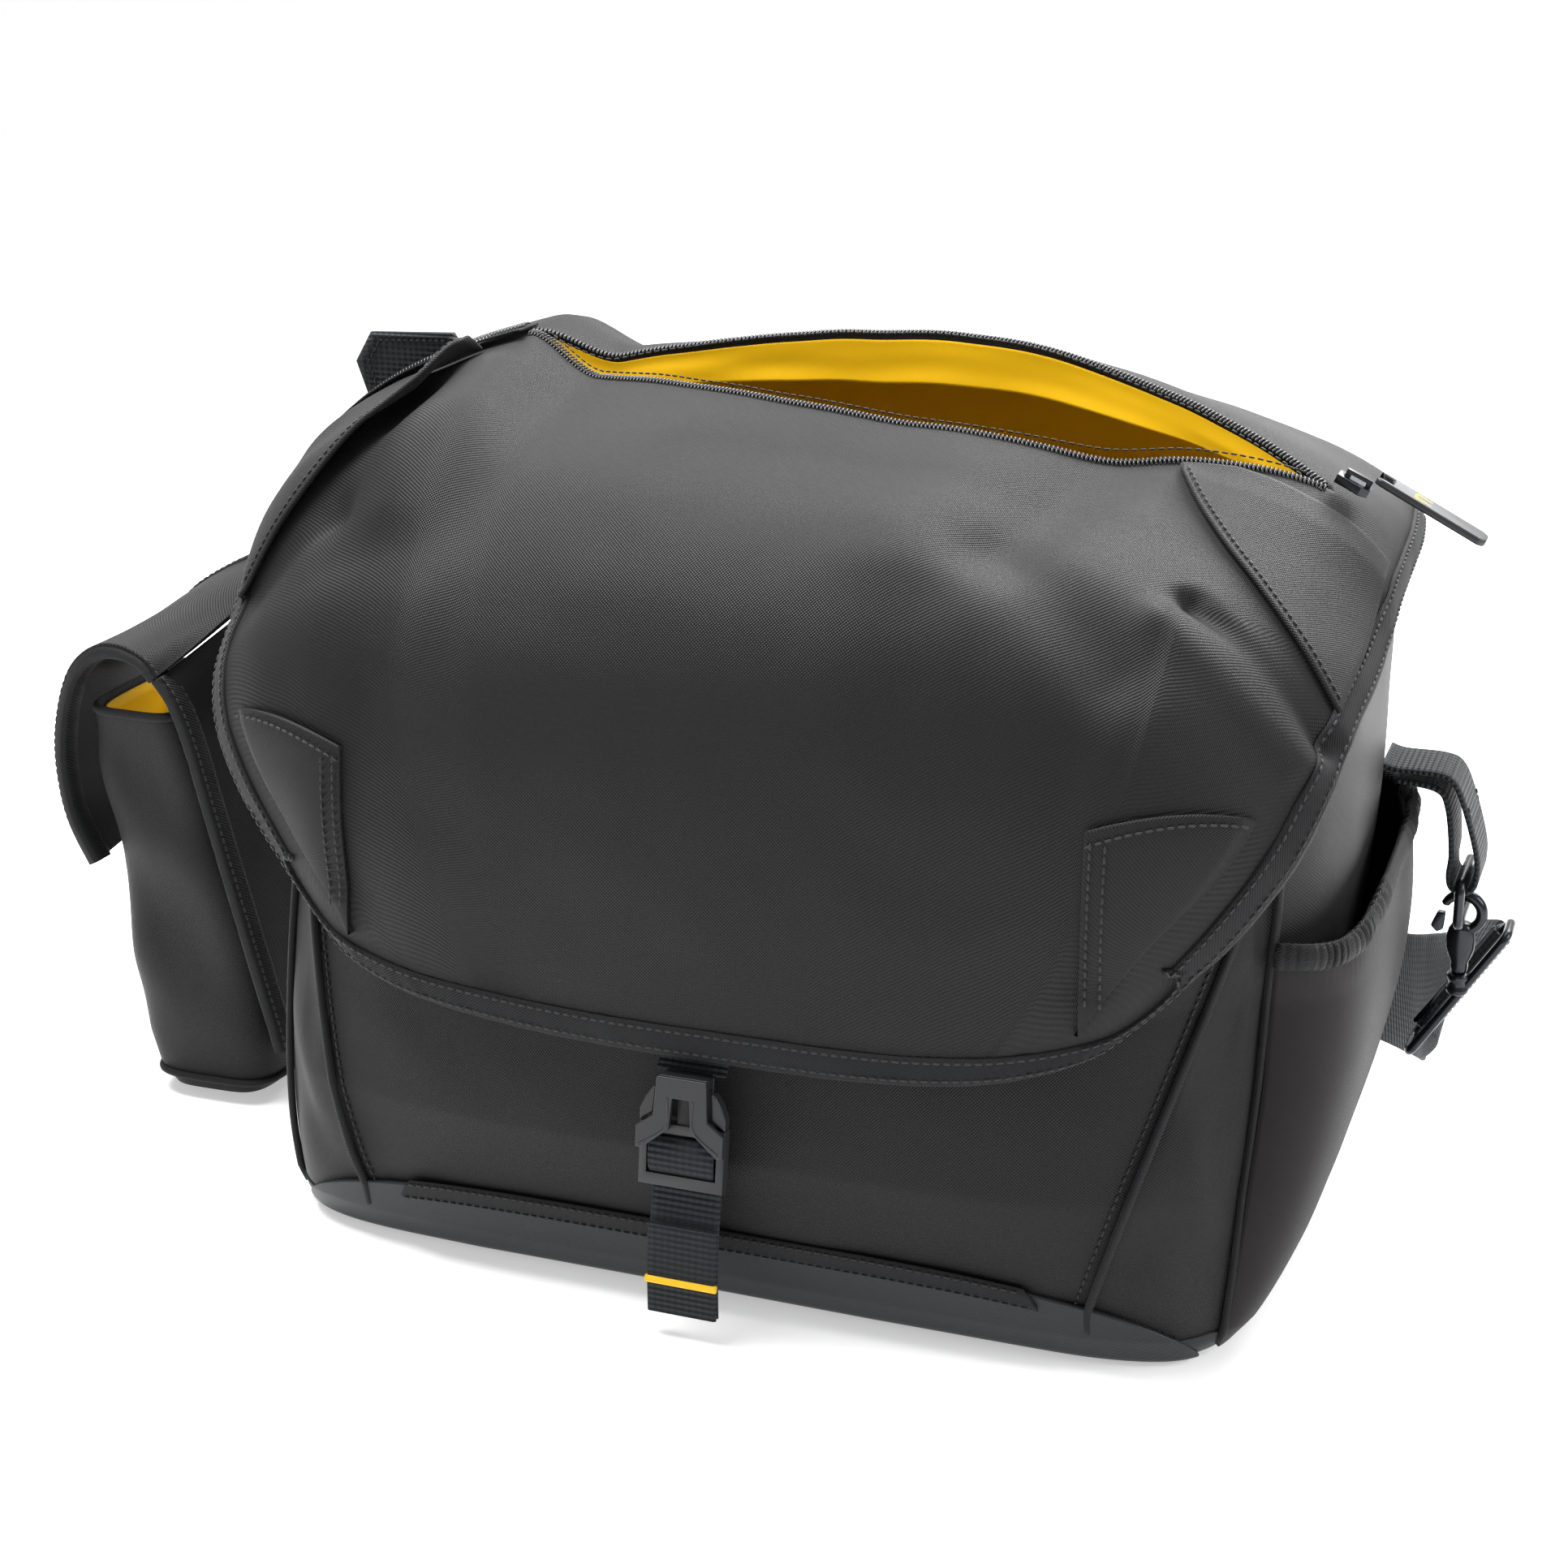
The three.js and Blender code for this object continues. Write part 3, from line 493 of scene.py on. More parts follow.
def stitch_line(points, normals, body, pitch=3.2, length=2.3, radius=0.42):
    """Raised thread stitches along a path on a surface, gathered per body.

    normals is a list with one for each point, or a single (x, y, z) for them all.
    """
    if isinstance(normals, tuple):
        normals = [Vector(normals)] * len(points)
    verts, faces = STITCHES.setdefault(body, ([], []))
    run, target = 0.0, pitch / 2
    for k in range(len(points) - 1):
        a, b = points[k], points[k + 1]
        step = (b - a).length
        while step and run + step >= target:
            centre = a.lerp(b, (target - run) / step)
            along = (b - a).normalized()
            up = (normals[k] - along * normals[k].dot(along)).normalized()
            side = along.cross(up)
            base = len(verts)
            for t, size in ((-1, 0.45), (-0.7, 1), (0.7, 1), (1, 0.45)):
                for q in range(6):
                    angle = 2 * pi * q / 6
                    verts.append(centre + along * (t * length / 2)
                                 + side * (cos(angle) * radius * size)
                                 + up * (sin(angle) * radius * size))
            faces += ring_faces(4, 6, base)
            target += pitch
        run += step


def sew_all():
    """One piece of thread for all the stitches on each body."""
    for body, (verts, faces) in STITCHES.items():
        new_piece(f"stitching_{body}", verts, faces, THREAD, body)


def soften_edges(piece, bevel, angle=None):
    """Round edges of a moulded piece, all of them or those sharper than an angle in degrees."""
    soften = piece.modifiers.new("edges", "BEVEL")
    soften.width = bevel * MM
    soften.segments = 3
    soften.harden_normals = True
    if angle:
        soften.limit_method = "ANGLE"
        soften.angle_limit = radians(angle)


def refined(node, material, body, bevel=0.5):
    """Copy of a hard CAD part with its flat facets joined and its edges sharper than 28 degrees
    softened.
    """
    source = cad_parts[node].data
    work = bmesh.new()
    work.from_mesh(source)
    bmesh.ops.remove_doubles(work, verts=work.verts, dist=1e-6)
    bmesh.ops.dissolve_limit(work, angle_limit=radians(1.5), verts=work.verts, edges=work.edges)
    mesh = bpy.data.meshes.new(f"{node}_fine")
    work.to_mesh(mesh)
    work.free()
    mesh.materials.clear()
    mesh.materials.append(material)
    piece = bpy.data.objects.new(f"{node}_fine", mesh)
    bpy.context.scene.collection.objects.link(piece)
    soften_edges(piece, bevel, 28)
    mesh.polygons.foreach_set("use_smooth", [True] * len(mesh.polygons))
    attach(piece, body)
    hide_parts(node)


# ---- Flap ----------------------------------------------------------------------------------
CORNER_U, CORNER_V = 0.1, 0.075
FLAP_COLUMNS = 200


def flap_s(u, v):
    """Position across the flap, with its two lower corners rounded."""
    depth = max(0.0, (v - 1 + CORNER_V) / CORNER_V)
    cut = CORNER_U * (1 - sqrt(max(0.0, 1 - depth * depth)))
    return across(mix(cut, 1 - cut, u))


def build_flap_cloth():
    columns = FLAP_COLUMNS
    mouth_edges = [(mouth_v(s, -1), mouth_v(s, 1))
                   for s in (across(i / columns) for i in range(columns + 1))]
    grid, faces = [], []
    for part, rows in (("back", 36), ("front", 130)):
        base = len(grid)
        for j in range(rows + 1):
            line = []
            for i in range(columns + 1):
                front, back = mouth_edges[i]
                v = mix(0, back, j / rows) if part == "back" else mix(front, 1, j / rows)
                line.append(flap_point(flap_s(i / columns, v), v))
            grid.append(line)
        wide = columns + 1
        for j in range(base, base + rows):
            for i in range(columns):
                a = j * wide + i
                faces.append((a, a + wide, a + wide + 1, a + 1))
    points = [p for line in grid for p in line]
    cloth = new_piece("flap_cloth", points, faces, FABRIC, "flap",
                      ("flap_shell",), cloth_places(grid))
    work = bmesh.new()
    work.from_mesh(cloth.data)
    bmesh.ops.remove_doubles(work, verts=work.verts, dist=2e-5)
    work.to_mesh(cloth.data)
    work.free()
    thicken(cloth, 2.4)


def build_flap_lining():
    """Yellow lining under the flap, in two parts either side of the mouth."""
    def back(u, t):
        s = across(mix(0.02, 0.98, u))
        return flap_point(s, mix(0.03, mouth_v(s, 1) + 0.004, t), -3.6 - 2.5 * (1 - t))

    def front(u, t):
        s = across(mix(0.02, 0.98, u))
        return flap_point(s, mix(mouth_v(s, -1) - 0.004, 0.9, t), -3.6 - 1.0 * t)

    sheet("flap_lining_back", back, 90, 14, LINING, "flap", ("flap_lining",), 0.8)
    sheet("flap_lining_front", front, 90, 50, LINING, "flap", (), 0.8)


def edge_path():
    """Stations along the bound edge: place across and along, and the direction inward."""
    stations = []
    side_steps, arc_steps, front_steps = 110, 14, 130
    for k in range(side_steps):
        stations.append((0.0, mix(0.03, 1 - CORNER_V, k / side_steps), 1.0, 0.0))
    for k in range(arc_steps + 1):
        angle = pi / 2 * k / arc_steps
        stations.append((CORNER_U * (1 - cos(angle)), 1 - CORNER_V * (1 - sin(angle)),
                         cos(angle), -sin(angle)))
    for k in range(1, front_steps):
        stations.append((mix(CORNER_U, 1 - CORNER_U, k / front_steps), 1.0, 0.0, -1.0))
    mirror = [(1 - u, v, -a, b) for u, v, a, b in stations[: side_steps + arc_steps + 1]]
    return stations + mirror[::-1]


EDGE = edge_path()


def edge_point(station, inward, out):
    """Point at a distance inward along the cloth from the flap's edge, lifted off the cloth."""
    u, v, a, b = station

    def place(move):
        return flap_base(across(u + a * move), v + b * move)
    edge = place(0)
    low, high = 0.0, 0.3
    for _ in range(12 if inward > 0 else 0):
        move = (low + high) / 2
        if (place(move) - edge).length < inward:
            low = move
        else:
            high = move
    p = flap_point(across(u + a * low), v + b * low, out)
    if inward < 0:
        p += (place(0.05) - edge).normalized() * inward
    return p


def build_flap_binding():
    """Twill tape folded over the flap's edge: (inward, out) points round its section."""
    section = [(9.6, -0.6), (9.8, 0.7), (9.2, 1.25), (7, 1.45), (4.5, 1.5), (2, 1.5), (0, 1.2),
               (-1.1, 0.3), (-1.4, -1.0), (-1.1, -2.4), (0, -3.4), (2, -3.8), (5, -3.8),
               (8.6, -3.6), (9, -2.6)]
    verts, uv = [], []
    run = 0.0
    last = None
    for k, station in enumerate(EDGE):
        ring = []
        pucker = 0.35 * noise.noise(Vector((k * 0.31, 1.7, 0.3)))
        for d, h in section:
            ring.append(edge_point(station, d, h + (pucker if h > 0 else 0)))
        if last is not None:
            run += (ring[5] - last).length * MM
        last = ring[5]
        edge = 0.0
        for i, p in enumerate(ring):
            if i:
                edge += (p - ring[i - 1]).length * MM
            verts.append(p)
            uv.append((edge, run))
    faces = ring_faces(len(EDGE), len(section), turned=True)
    new_piece("flap_edge_binding", verts, faces, BINDING, "flap",
              ("flap_binding",), uv)
    for inward in (1.4, 8.2):
        line = [edge_point(station, inward, 1.5) for station in EDGE]
        ups = [flap_normal(across(u), v) for u, v, _, _ in EDGE]
        stitch_line(line, ups, "flap", 3.4, 2.3, 0.45)


def hem_v(s):
    """Flap parameter of a wing's lower hem at s across."""
    t = min(1.0, max(0.0, (abs(s) - 0.64) / 0.345))
    return mix(0.4, 0.612, t ** 0.77)


def wing_lift(sign, t, s):
    """How far a wing stands off the cloth; its left one gapes at the top of its hem."""
    if sign > 0:
        return 1.6 + 0.8 * t
    return 1.8 + 7.0 * t * bell(abs(s), 0.72, 0.14) + 1.5 * t


SIDES = (("left", -1), ("right", 1))


def stitch_flap(places, out, pitch, length, radius):
    """Stitches over the flap through (s, v) places."""
    stitch_line([flap_point(s, v, out) for s, v in places],
                [flap_normal(s, v) for s, v in places], "flap", pitch, length, radius)


def build_wings():
    """Overlay panels on the flap's two top corners, with rolled and stitched hems."""
    for side, sign in SIDES:
        def point(u, t, sign=sign):
            uu = u if sign > 0 else 1 - u
            s = sign * mix(0.64, 0.975, uu)
            top = max(mouth_v(s, -1) + 0.008, 0.385)
            v = mix(top, max(top + 0.002, hem_v(s)), t)
            return flap_point(s, v, wing_lift(sign, t, s))
        sheet(f"wing_{side}", point, 48, 40, FABRIC, "flap",
              (f"wing_panel_{side}",), 1.3)
        hem, ups = [], []
        for part in spread(0.65, 0.97, 69):
            s = sign * part
            v = hem_v(s) - 0.008
            hem.append(flap_point(s, v, wing_lift(sign, 0.97, s) + 0.25))
            ups.append(flap_normal(s, v))
        stitch_line(hem, ups, "flap", 3.0, 2.1, 0.35)
        rolled = [flap_point(sign * s, hem_v(s), wing_lift(sign, 1, s) - 0.7)
                  for s in spread(0.645, 0.975, 69)]
        tube(f"wing_hem_{side}", rolled, 1.0, FABRIC, "flap")

PATCH_X = 130
PATCH_TOP, PATCH_EAR, PATCH_LOW = 0.83, 0.775, 0.965


def patch_fold(v):
    """How far across the flap a corner patch reaches: its folded edge slants to the low corner."""
    low = PATCH_X / flap_row(PATCH_LOW)[2]
    return mix(0.935, low, smooth((v - PATCH_EAR) / (PATCH_LOW - PATCH_EAR)) ** 1.6)


def build_corner_patches():
    """Folded patches on the flap's two lower corners, stitched along two of their sides."""
    for side, sign in SIDES:
        def point(u, t, sign=sign):
            uu = u if sign > 0 else 1 - u
            v = mix(mix(PATCH_TOP, PATCH_EAR, uu), PATCH_LOW, t)
            s = sign * mix(min(0.96, PATCH_X / flap_row(v)[2]), patch_fold(v), uu)
            fold = smooth((uu - 0.9) / 0.1)
            return flap_point(s, v, 2.0 + 1.0 * sin(pi * uu) * sin(pi * t) - 2.2 * fold)
        sheet(f"corner_fold_{side}", point, 44, 60, FABRIC, "flap",
              (f"corner_patch_{side}",), 1.5)
        for shift in (2.0, 6.5):
            side_seam = [(sign * (PATCH_X + shift) / flap_row(v)[2], v)
                         for v in spread(PATCH_TOP + 0.006, PATCH_LOW - 0.02, 59)]
            stitch_flap(side_seam, 2.9, 3.2, 2.2, 0.4)
        top_seam = []
        for u in spread(0, 1, 49):
            v = mix(PATCH_TOP, PATCH_EAR, u) + 0.012
            inner = min(0.96, PATCH_X / flap_row(v)[2])
            top_seam.append((sign * mix(inner, 0.92, u), v))
        stitch_flap(top_seam, 2.8, 3.2, 2.2, 0.4)


# ---- Zip -----------------------------------------------------------------------------------
def mouth_line(sign, start, end, steps, inset=0.0, out=0.0):
    line, ups = [], []
    for s in spread(start, end, steps):
        v = mouth_v(s, sign) + sign * -inset
        line.append(flap_point(s, v, out))
        ups.append(flap_normal(s, v))
    return line, ups


def coil_teeth(name, line, ups, node, reach):
    """Coil of a nylon zip: a small rounded loop across the tape's edge every 1.4 mm."""
    verts, faces = [], []
    pitch, run, target = 1.45, 0.0, 0.7
    for k in range(len(line) - 1):
        a, b = line[k], line[k + 1]
        step = (b - a).length
        while step and run + step >= target:
            centre = a.lerp(b, (target - run) / step)
            along = (b - a).normalized()
            up = (ups[k] - along * ups[k].dot(along)).normalized()
            side = along.cross(up) * reach
            base = len(verts)
            for t in range(7):
                angle = pi * t / 6
                middle = centre + side * (1.9 * cos(angle)) + up * (0.75 * sin(angle))
                for q in range(6):
                    turn = 2 * pi * q / 6
                    outward = side.normalized() * cos(angle) + up * sin(angle)
                    verts.append(middle + along * (0.5 * cos(turn)) + outward * (0.5 * sin(turn)))
            faces += ring_faces(7, 6, base, capped=False)
            target += pitch
        run += step
    new_piece(name, verts, faces, COIL, "flap", node)


ZIP_START, ZIP_END = -0.575, 0.86


def build_mouth():
    """Zip teeth and tapes along both edges of the mouth, and the lining that shows in it."""
    for side, sign in (("front", -1), ("back", 1)):
        line, ups = mouth_line(sign, ZIP_START, ZIP_END, 240, 0.0, -0.2)
        coil_teeth(f"zip_teeth_{side}", line, ups, (f"zip_coil_{side}",), -sign)

        def tape(u, t, sign=sign):
            s = mix(ZIP_START, ZIP_END, u)
            v = mouth_v(s, sign)
            inward = Vector((0, -sign, 0))
            curl = t * pi * 0.55
            return (flap_point(s, v, 0) + inward * (1.6 * sin(curl) - 1.2)
                    + flap_normal(s, v) * (1.3 * cos(curl) - 0.9 - 3.4 * t))
        sheet(f"zip_tape_{side}", tape, 160, 8, BINDING, "flap", (), 0.7)
        seam, seam_ups = mouth_line(sign, ZIP_START, ZIP_END, 200, -0.013, 0.15)
        stitch_line(seam, seam_ups, "flap", 3.0, 2.1, 0.35)

    def lip(u, t):
        """Lining that hangs from the mouth's back edge into the compartment."""
        s = mix(-0.57, 0.85, u)
        v = mouth_v(s, 1)
        p = flap_point(s, v, -2.4)
        wave = 1.5 * noise.noise(Vector((p.x * 0.03, t * 2, 0.5)))
        return p + Vector((0, -1.5 - 3.5 * t + wave * t, -15 * t * (0.35 + 0.65 * sin(pi * u))))
    sheet("mouth_lining_lip", lip, 110, 16, LINING, "flap", (), 0.8)
    # Closed run of the zip down the left shoulder.
    line, ups = mouth_line(-1, ZIP_START, -0.985, 119, 0.0, 2.6)
    coil_teeth("zip_teeth_closed", line, ups, (), 1.0)

    def closed_tape(u, t):
        s = mix(ZIP_START, -0.985, u)
        v = mouth_v(s, -1)
        return flap_point(s, v, 1.5) + Vector((0, mix(8, -8, t), 0))
    sheet("zip_tape_closed", closed_tape, 60, 6, BINDING, "flap", (), 0.8)


def build_slider():
    """Zip slider and puller, with a yellow bar round the puller's window."""
    refined("zip_slider", STEEL, "slider", 0.5)
    refined("zip_pull", PLASTIC, "pull", 0.9)
    low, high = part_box("zip_pull")
    low, high = low / MM, high / MM
    along = Vector((high.x - low.x, 0, low.z - high.z)).normalized()
    start = Vector((low.x, (low.y + high.y) / 2, high.z))
    up = Vector((-along.z, 0, along.x))
    corners = [start + along * du + Vector((0, dw, 0)) + up * 0.55
               for du, dw in ((15, -2.2), (34, -2.2), (34, 2.2), (15, 2.2))]
    loop = [a.lerp(b, t / 6) for a, b in zip(corners, corners[1:] + corners[:1])
            for t in range(6)]
    tube("pull_bar", loop, 0.75, PIPING, "pull", closed=True, hint=(0.1, 0.2, 1))


def build_pull_tab():
    """Octagonal-tipped grab tab behind the left shoulder, with stitched edges."""
    outline = [(-141, 288.5), (-176, 274), (-187, 279), (-191, 291), (-184, 302), (-150, 303)]
    centre = Vector((-165, 0, 290))

    def place(x, z, scale, depth):
        return Vector((centre.x + (x - centre.x) * scale, 30.5 - depth,
                       centre.z + (z - centre.z) * scale))
    rings = [(1.0, -1.5), (1.02, -0.9), (1.02, 0.9), (1.0, 1.5), (0.9, 1.9), (0.86, 1.5),
             (0.5, 1.4)]
    verts = [place(x, z, *ring) for ring in rings for x, z in outline]
    new_piece("grab_tab", verts, ring_faces(len(rings), len(outline)), WEBBING, "flap",
              ("pull_tab",))
    line = [place(mix(a[0], b[0], t / 10), mix(a[1], b[1], t / 10), 0.8, 1.6)
            for a, b in zip(outline, outline[1:] + outline[:1]) for t in range(10)]
    stitch_line(line + line[:1], (0, -1, 0), "flap", 2.6, 1.9, 0.35)


def hinge_cloth():
    """Cloth between the top of the back panel and the flap."""
    def point(u, t):
        s = across(mix(0.03, 0.97, u))
        top = flap_point(s, 0.012)
        low = Vector((top.x * 0.97, 96.5 + 2.0 * (1 - abs(s) ** 4), 226))
        low.y = rim_depth(low.x, 226, 1.2)
        middle = (top + low) / 2 + Vector((0, 3.5, 1))
        if t < 0.5:
            return top.lerp(middle, smooth(t * 2) * 0.5 + t)
        return middle.lerp(low, (t - 0.5) * 2)
    piece = sheet("hinge_cloth", point, 90, 18, FABRIC, "flap", (), 2.0)
    modifier_to_mesh(piece)
    piece.parent = None
    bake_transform(piece)


def rim_depth(x, z, out):
    """Depth of the body's back surface at x."""
    low, high = 0.0, 90.0
    for _ in range(24):
        phi = (low + high) / 2
        if rim(phi, z, out).x > abs(x):
            low = phi
        else:
            high = phi
    return rim(low, z, out).y


def modifier_to_mesh(piece):
    bpy.context.view_layer.update()
    graph = bpy.context.evaluated_depsgraph_get()
    mesh = bpy.data.meshes.new_from_object(piece.evaluated_get(graph))
    piece.modifiers.clear()
    piece.data = mesh


# ---- Body ----------------------------------------------------------------------------------
def seam_phi(z, sign):
    """Plan angle of the slanted seam at the edge of the lower front panel."""
    x = mix(131, 162, min(1.25, max(0.0, (z - 22) / 104)))
    low, high = -90.0, 0.0
    for _ in range(22):
        phi = (low + high) / 2
        if rim(phi, z, 0).x < x:
            low = phi
        else:
            high = phi
    return low if sign > 0 else -180 - low


def body_relief(p, size=1.4):
    """Slack of the body's cloth at a point."""
    soft = noise.noise(p * 0.016 + Vector((9, 4, 2)))
    fine = noise.noise(p * 0.05)
    return size * soft + 0.35 * fine


def body_sheet(name, left, right, top, columns, rows, node, puff):
    """Panel of the body between two plan angles, each a number or a function of height.

    top gives the height of the upper edge at its left and right ends, and puff(u, t, p) how
    far the cloth stands out, t running upward.
    """
    def angle(side, z):
        return side(z) if callable(side) else side

    def point(u, t):
        z = mix(mix(*top, u), 5, t)
        phi = mix(angle(left, z), angle(right, z), u)
        p = rim(phi, z)
        lift = 1.0 + body_relief(p) * min(1, 8 * u, 8 * (1 - u))
        return rim(phi, z, lift + puff(u, 1 - t, p))
    sheet(name, point, columns, rows, FABRIC, "bag", node, 1.8)


def wrinkles(u, t, p):
    folds = sin(p.z * 0.11 + 2 * noise.noise(Vector((p.z * 0.02, u * 2, 1))))
    return 1.3 * folds * sin(pi * u) * bell(t, 0.45, 0.45)


GUSSET_PHI = -27  # plan angle where the right gusset meets the side wall


def build_body():
    """Cloth panels of the body, with bound seams between them."""
    def left_seam(z):
        return seam_phi(z, -1)

    def right_seam(z):
        return seam_phi(z, 1)

    def left_seam_turned(z):
        return 360 + seam_phi(z, -1)

    body_sheet("front_cloth", left_seam, right_seam, (190, 190), 150, 90, ("front_panel",),
               lambda u, t, p: 2.2 * sin(pi * u) * sin(pi * min(1, t * 1.5)))
    body_sheet("gusset_right", right_seam, GUSSET_PHI, (198, 198), 40, 110, (), wrinkles)
    body_sheet("side_right", GUSSET_PHI, 38, (203, 230), 70, 70, ("side_wall_right",),
               lambda u, t, p: 3.0 * sin(pi * u) * bell(t, 0.75, 0.25))
    body_sheet("back_cloth", 38, 142, (234, 234), 120, 60, ("back_panel",),
               lambda u, t, p: 2.0 * sin(pi * u) * sin(pi * t))
    body_sheet("side_left", 142, 180 - GUSSET_PHI, (230, 203), 70, 70, ("side_wall_left",),
               lambda u, t, p: 2.0 * sin(pi * u) * bell(t, 0.75, 0.25))
    body_sheet("gusset_left", 180 - GUSSET_PHI, left_seam_turned, (198, 198), 40, 110, (),
               wrinkles)
    for side, sign in SIDES:
        seam = [rim(seam_phi(z, sign), z, 2.4) for z in spread(14, 186, 60)]
        tube(f"seam_piping_{side}", seam, 1.5, BINDING, "bag")
        phi = GUSSET_PHI if sign > 0 else 180 - GUSSET_PHI
        seam = [rim(phi, z, 2.2) for z in spread(6, 200, 60)]
        tube(f"gusset_piping_{side}", seam, 1.4, BINDING, "bag")
        for name, phi in (("side_piping", 20), ("back_piping", 38)):
            turn = phi if sign > 0 else 180 - phi
            top = 218 if phi < 30 else 228
            seam = [rim(turn, z, 2.2) for z in spread(6, top, 60)]
            tube(f"{name}_{side}", seam, 1.8, BINDING, "bag")
        line = [rim(seam_phi(z, sign) - 2.2 * sign, z, 1.6) for z in spread(20, 186, 60)]
        ups = [Vector((p.x * 0.3, p.y, 0)).normalized() for p in line]
        stitch_line(line, ups, "bag", 3.2, 2.2, 0.38)


def plan_loops(name, rings, columns, material, node):
    """Skin from rings of (outset, height) round the whole plan, closed at both ends."""
    verts, uv = [], []
    for out, z in rings:
        for i in range(columns):
            phi = 360 * i / columns
            p = rim(phi, max(0.0, z), out)
            p.z = z
            verts.append(p)
            uv.append((i / columns * 1.1, (z + out) * MM))
    faces = ring_faces(len(rings), columns)
    return new_piece(name, verts, faces, material, "bag", node, uv)


def leaf_top(phi):
    """Height of the upper edge of the coated leaf at the foot of the front."""
    return 2 + 27 * max(0.0, 1 - abs((phi + 90) / 54) ** 1.6)


def build_base():
    """Coated base, the leaf that rises from it up the front, and the leaf's tape."""
    plan_loops("base_skin", [(-4.5, 0.05), (-1.5, 0.3), (0.2, 1.4), (1.6, 3.6), (2.2, 7),
                             (1.8, 10.5), (-1.5, 10.8)], 220, COATED,
               ("base_boot",))

    def leaf(u, t):
        phi = mix(-143.5, -36.5, u)
        z = mix(leaf_top(phi) + 1, 1.2, t)
        swell = 1.6 * sin(pi * min(1, max(0, z / 30))) * bell(phi, -90, 30)
        p = rim(phi, z, 0)
        return rim(phi, z, 2.9 + swell * 0.5 + 0.5 * body_relief(p) - 1.3 * smooth((3 - z) / 3))
    sheet("leaf_cloth", leaf, 160, 26, COATED, "bag", ("front_leaf",), 1.8)

    def tape(u, t):
        phi = mix(-104, -76, u)
        edge = min(1, t * 5, (1 - t) * 5)
        z = leaf_top(phi) + mix(3.4, -5.6, t)
        relief = 0.2 * body_relief(rim(phi, z, 0))
        return rim(phi, z, 3.3 + 1.1 * edge + 0.4 * bell(phi, -90, 20) + relief)
    sheet("leaf_tape", tape, 130, 10, BINDING, "bag", ("trim_tape",), 1.2)
    for drop in (2.0, -4.2):
        line = [rim(phi, leaf_top(phi) + drop, 4.5 + 0.4 * bell(phi, -90, 20))
                for phi in spread(-103.5, -76.5, 90)]
        ups = [Vector((p.x * 0.4, p.y, 0)).normalized() for p in line]
        stitch_line(line, ups, "bag", 3.2, 2.2, 0.38)


# ---- Stretch pocket ------------------------------------------------------------------------
def pocket_top(phi):
    return mix(136, 146, (phi + 26) / 62) - 5 * bell(phi, -14, 12)


def pocket_swell(u, v):
    return 17 * (1 - (2 * u - 1) ** 4) * (1 - (1 - v) ** 3) * (1 - 0.35 * v ** 4)


def pocket_point(u, v, out=0.0):
    phi = mix(GUSSET_PHI, 36, u)
    z = mix(4, pocket_top(phi), v)
    p = rim(phi, z)
    dart = 3.0 * exp(-((distance_to_segment(p, (183, -66, 8), (196, -34, 38)) / 5) ** 2))
    gather = 0.3 * sin(phi * 4.2) * smooth((v - 0.88) / 0.12)
    return rim(phi, z, 3.4 + pocket_swell(u, v) + out - dart + gather + 0.6 * body_relief(p))


def build_pocket():
    """Stretch pocket on the right side, with a ribbed elastic edge."""
    sheet("pocket_cloth", lambda u, t: pocket_point(u, 1 - t), 90, 80, STRETCH, "bag",
          ("stretch_pocket",), 1.8)
    steps, around = 150, 14
    edge = [pocket_point(u, 1, 0.3) + Vector((0, 0, 2.0)) for u in spread(0, 1, steps)]

    def outward(k):
        phi = mix(GUSSET_PHI, 36, k / steps)
        return rim(phi, 140, 10) - rim(phi, 140, 0)
    piece = swept("pocket_elastic", edge, outward, oval(2.4, 4.6, around), BINDING, "bag",
                  ("pocket_binding",))
    for vertex in piece.data.vertices:
        ribs = 0.00035 * sin(vertex.index // around * 2 * pi / 3.0)
        vertex.co += Vector((vertex.co.x, vertex.co.y, 0)).normalized() * ribs


# ---- Front buckle and strap ----------------------------------------------------------------
BUCKLE_TURN = Matrix.Rotation(BUCKLE_LEAN, 3, "X")


def at_buckle(x, y, z):
    """Point in the buckle's own leaning axes."""
    return BUCKLE_FOOT + BUCKLE_TURN @ Vector((x, y, z))


def buckle_plate(name, outline, y0, y1, body, bevel, replaces=()):
    """Flat moulded plate of the buckle from an outline of (x, z), with softened edges."""
    count = len(outline)
    points = [at_buckle(x, y, z) for y in (y0, y1) for x, z in outline]
    faces = [tuple(range(count)), tuple(range(2 * count - 1, count - 1, -1))]
    faces += [(i, i + count, (i + 1) % count + count, (i + 1) % count) for i in range(count)]
    piece = new_piece(name, points, faces, PLASTIC, body, replaces)
    work = bmesh.new()
    work.from_mesh(piece.data)
    bmesh.ops.recalc_face_normals(work, faces=work.faces)
    work.to_mesh(piece.data)
    work.free()
    soften_edges(piece, bevel)


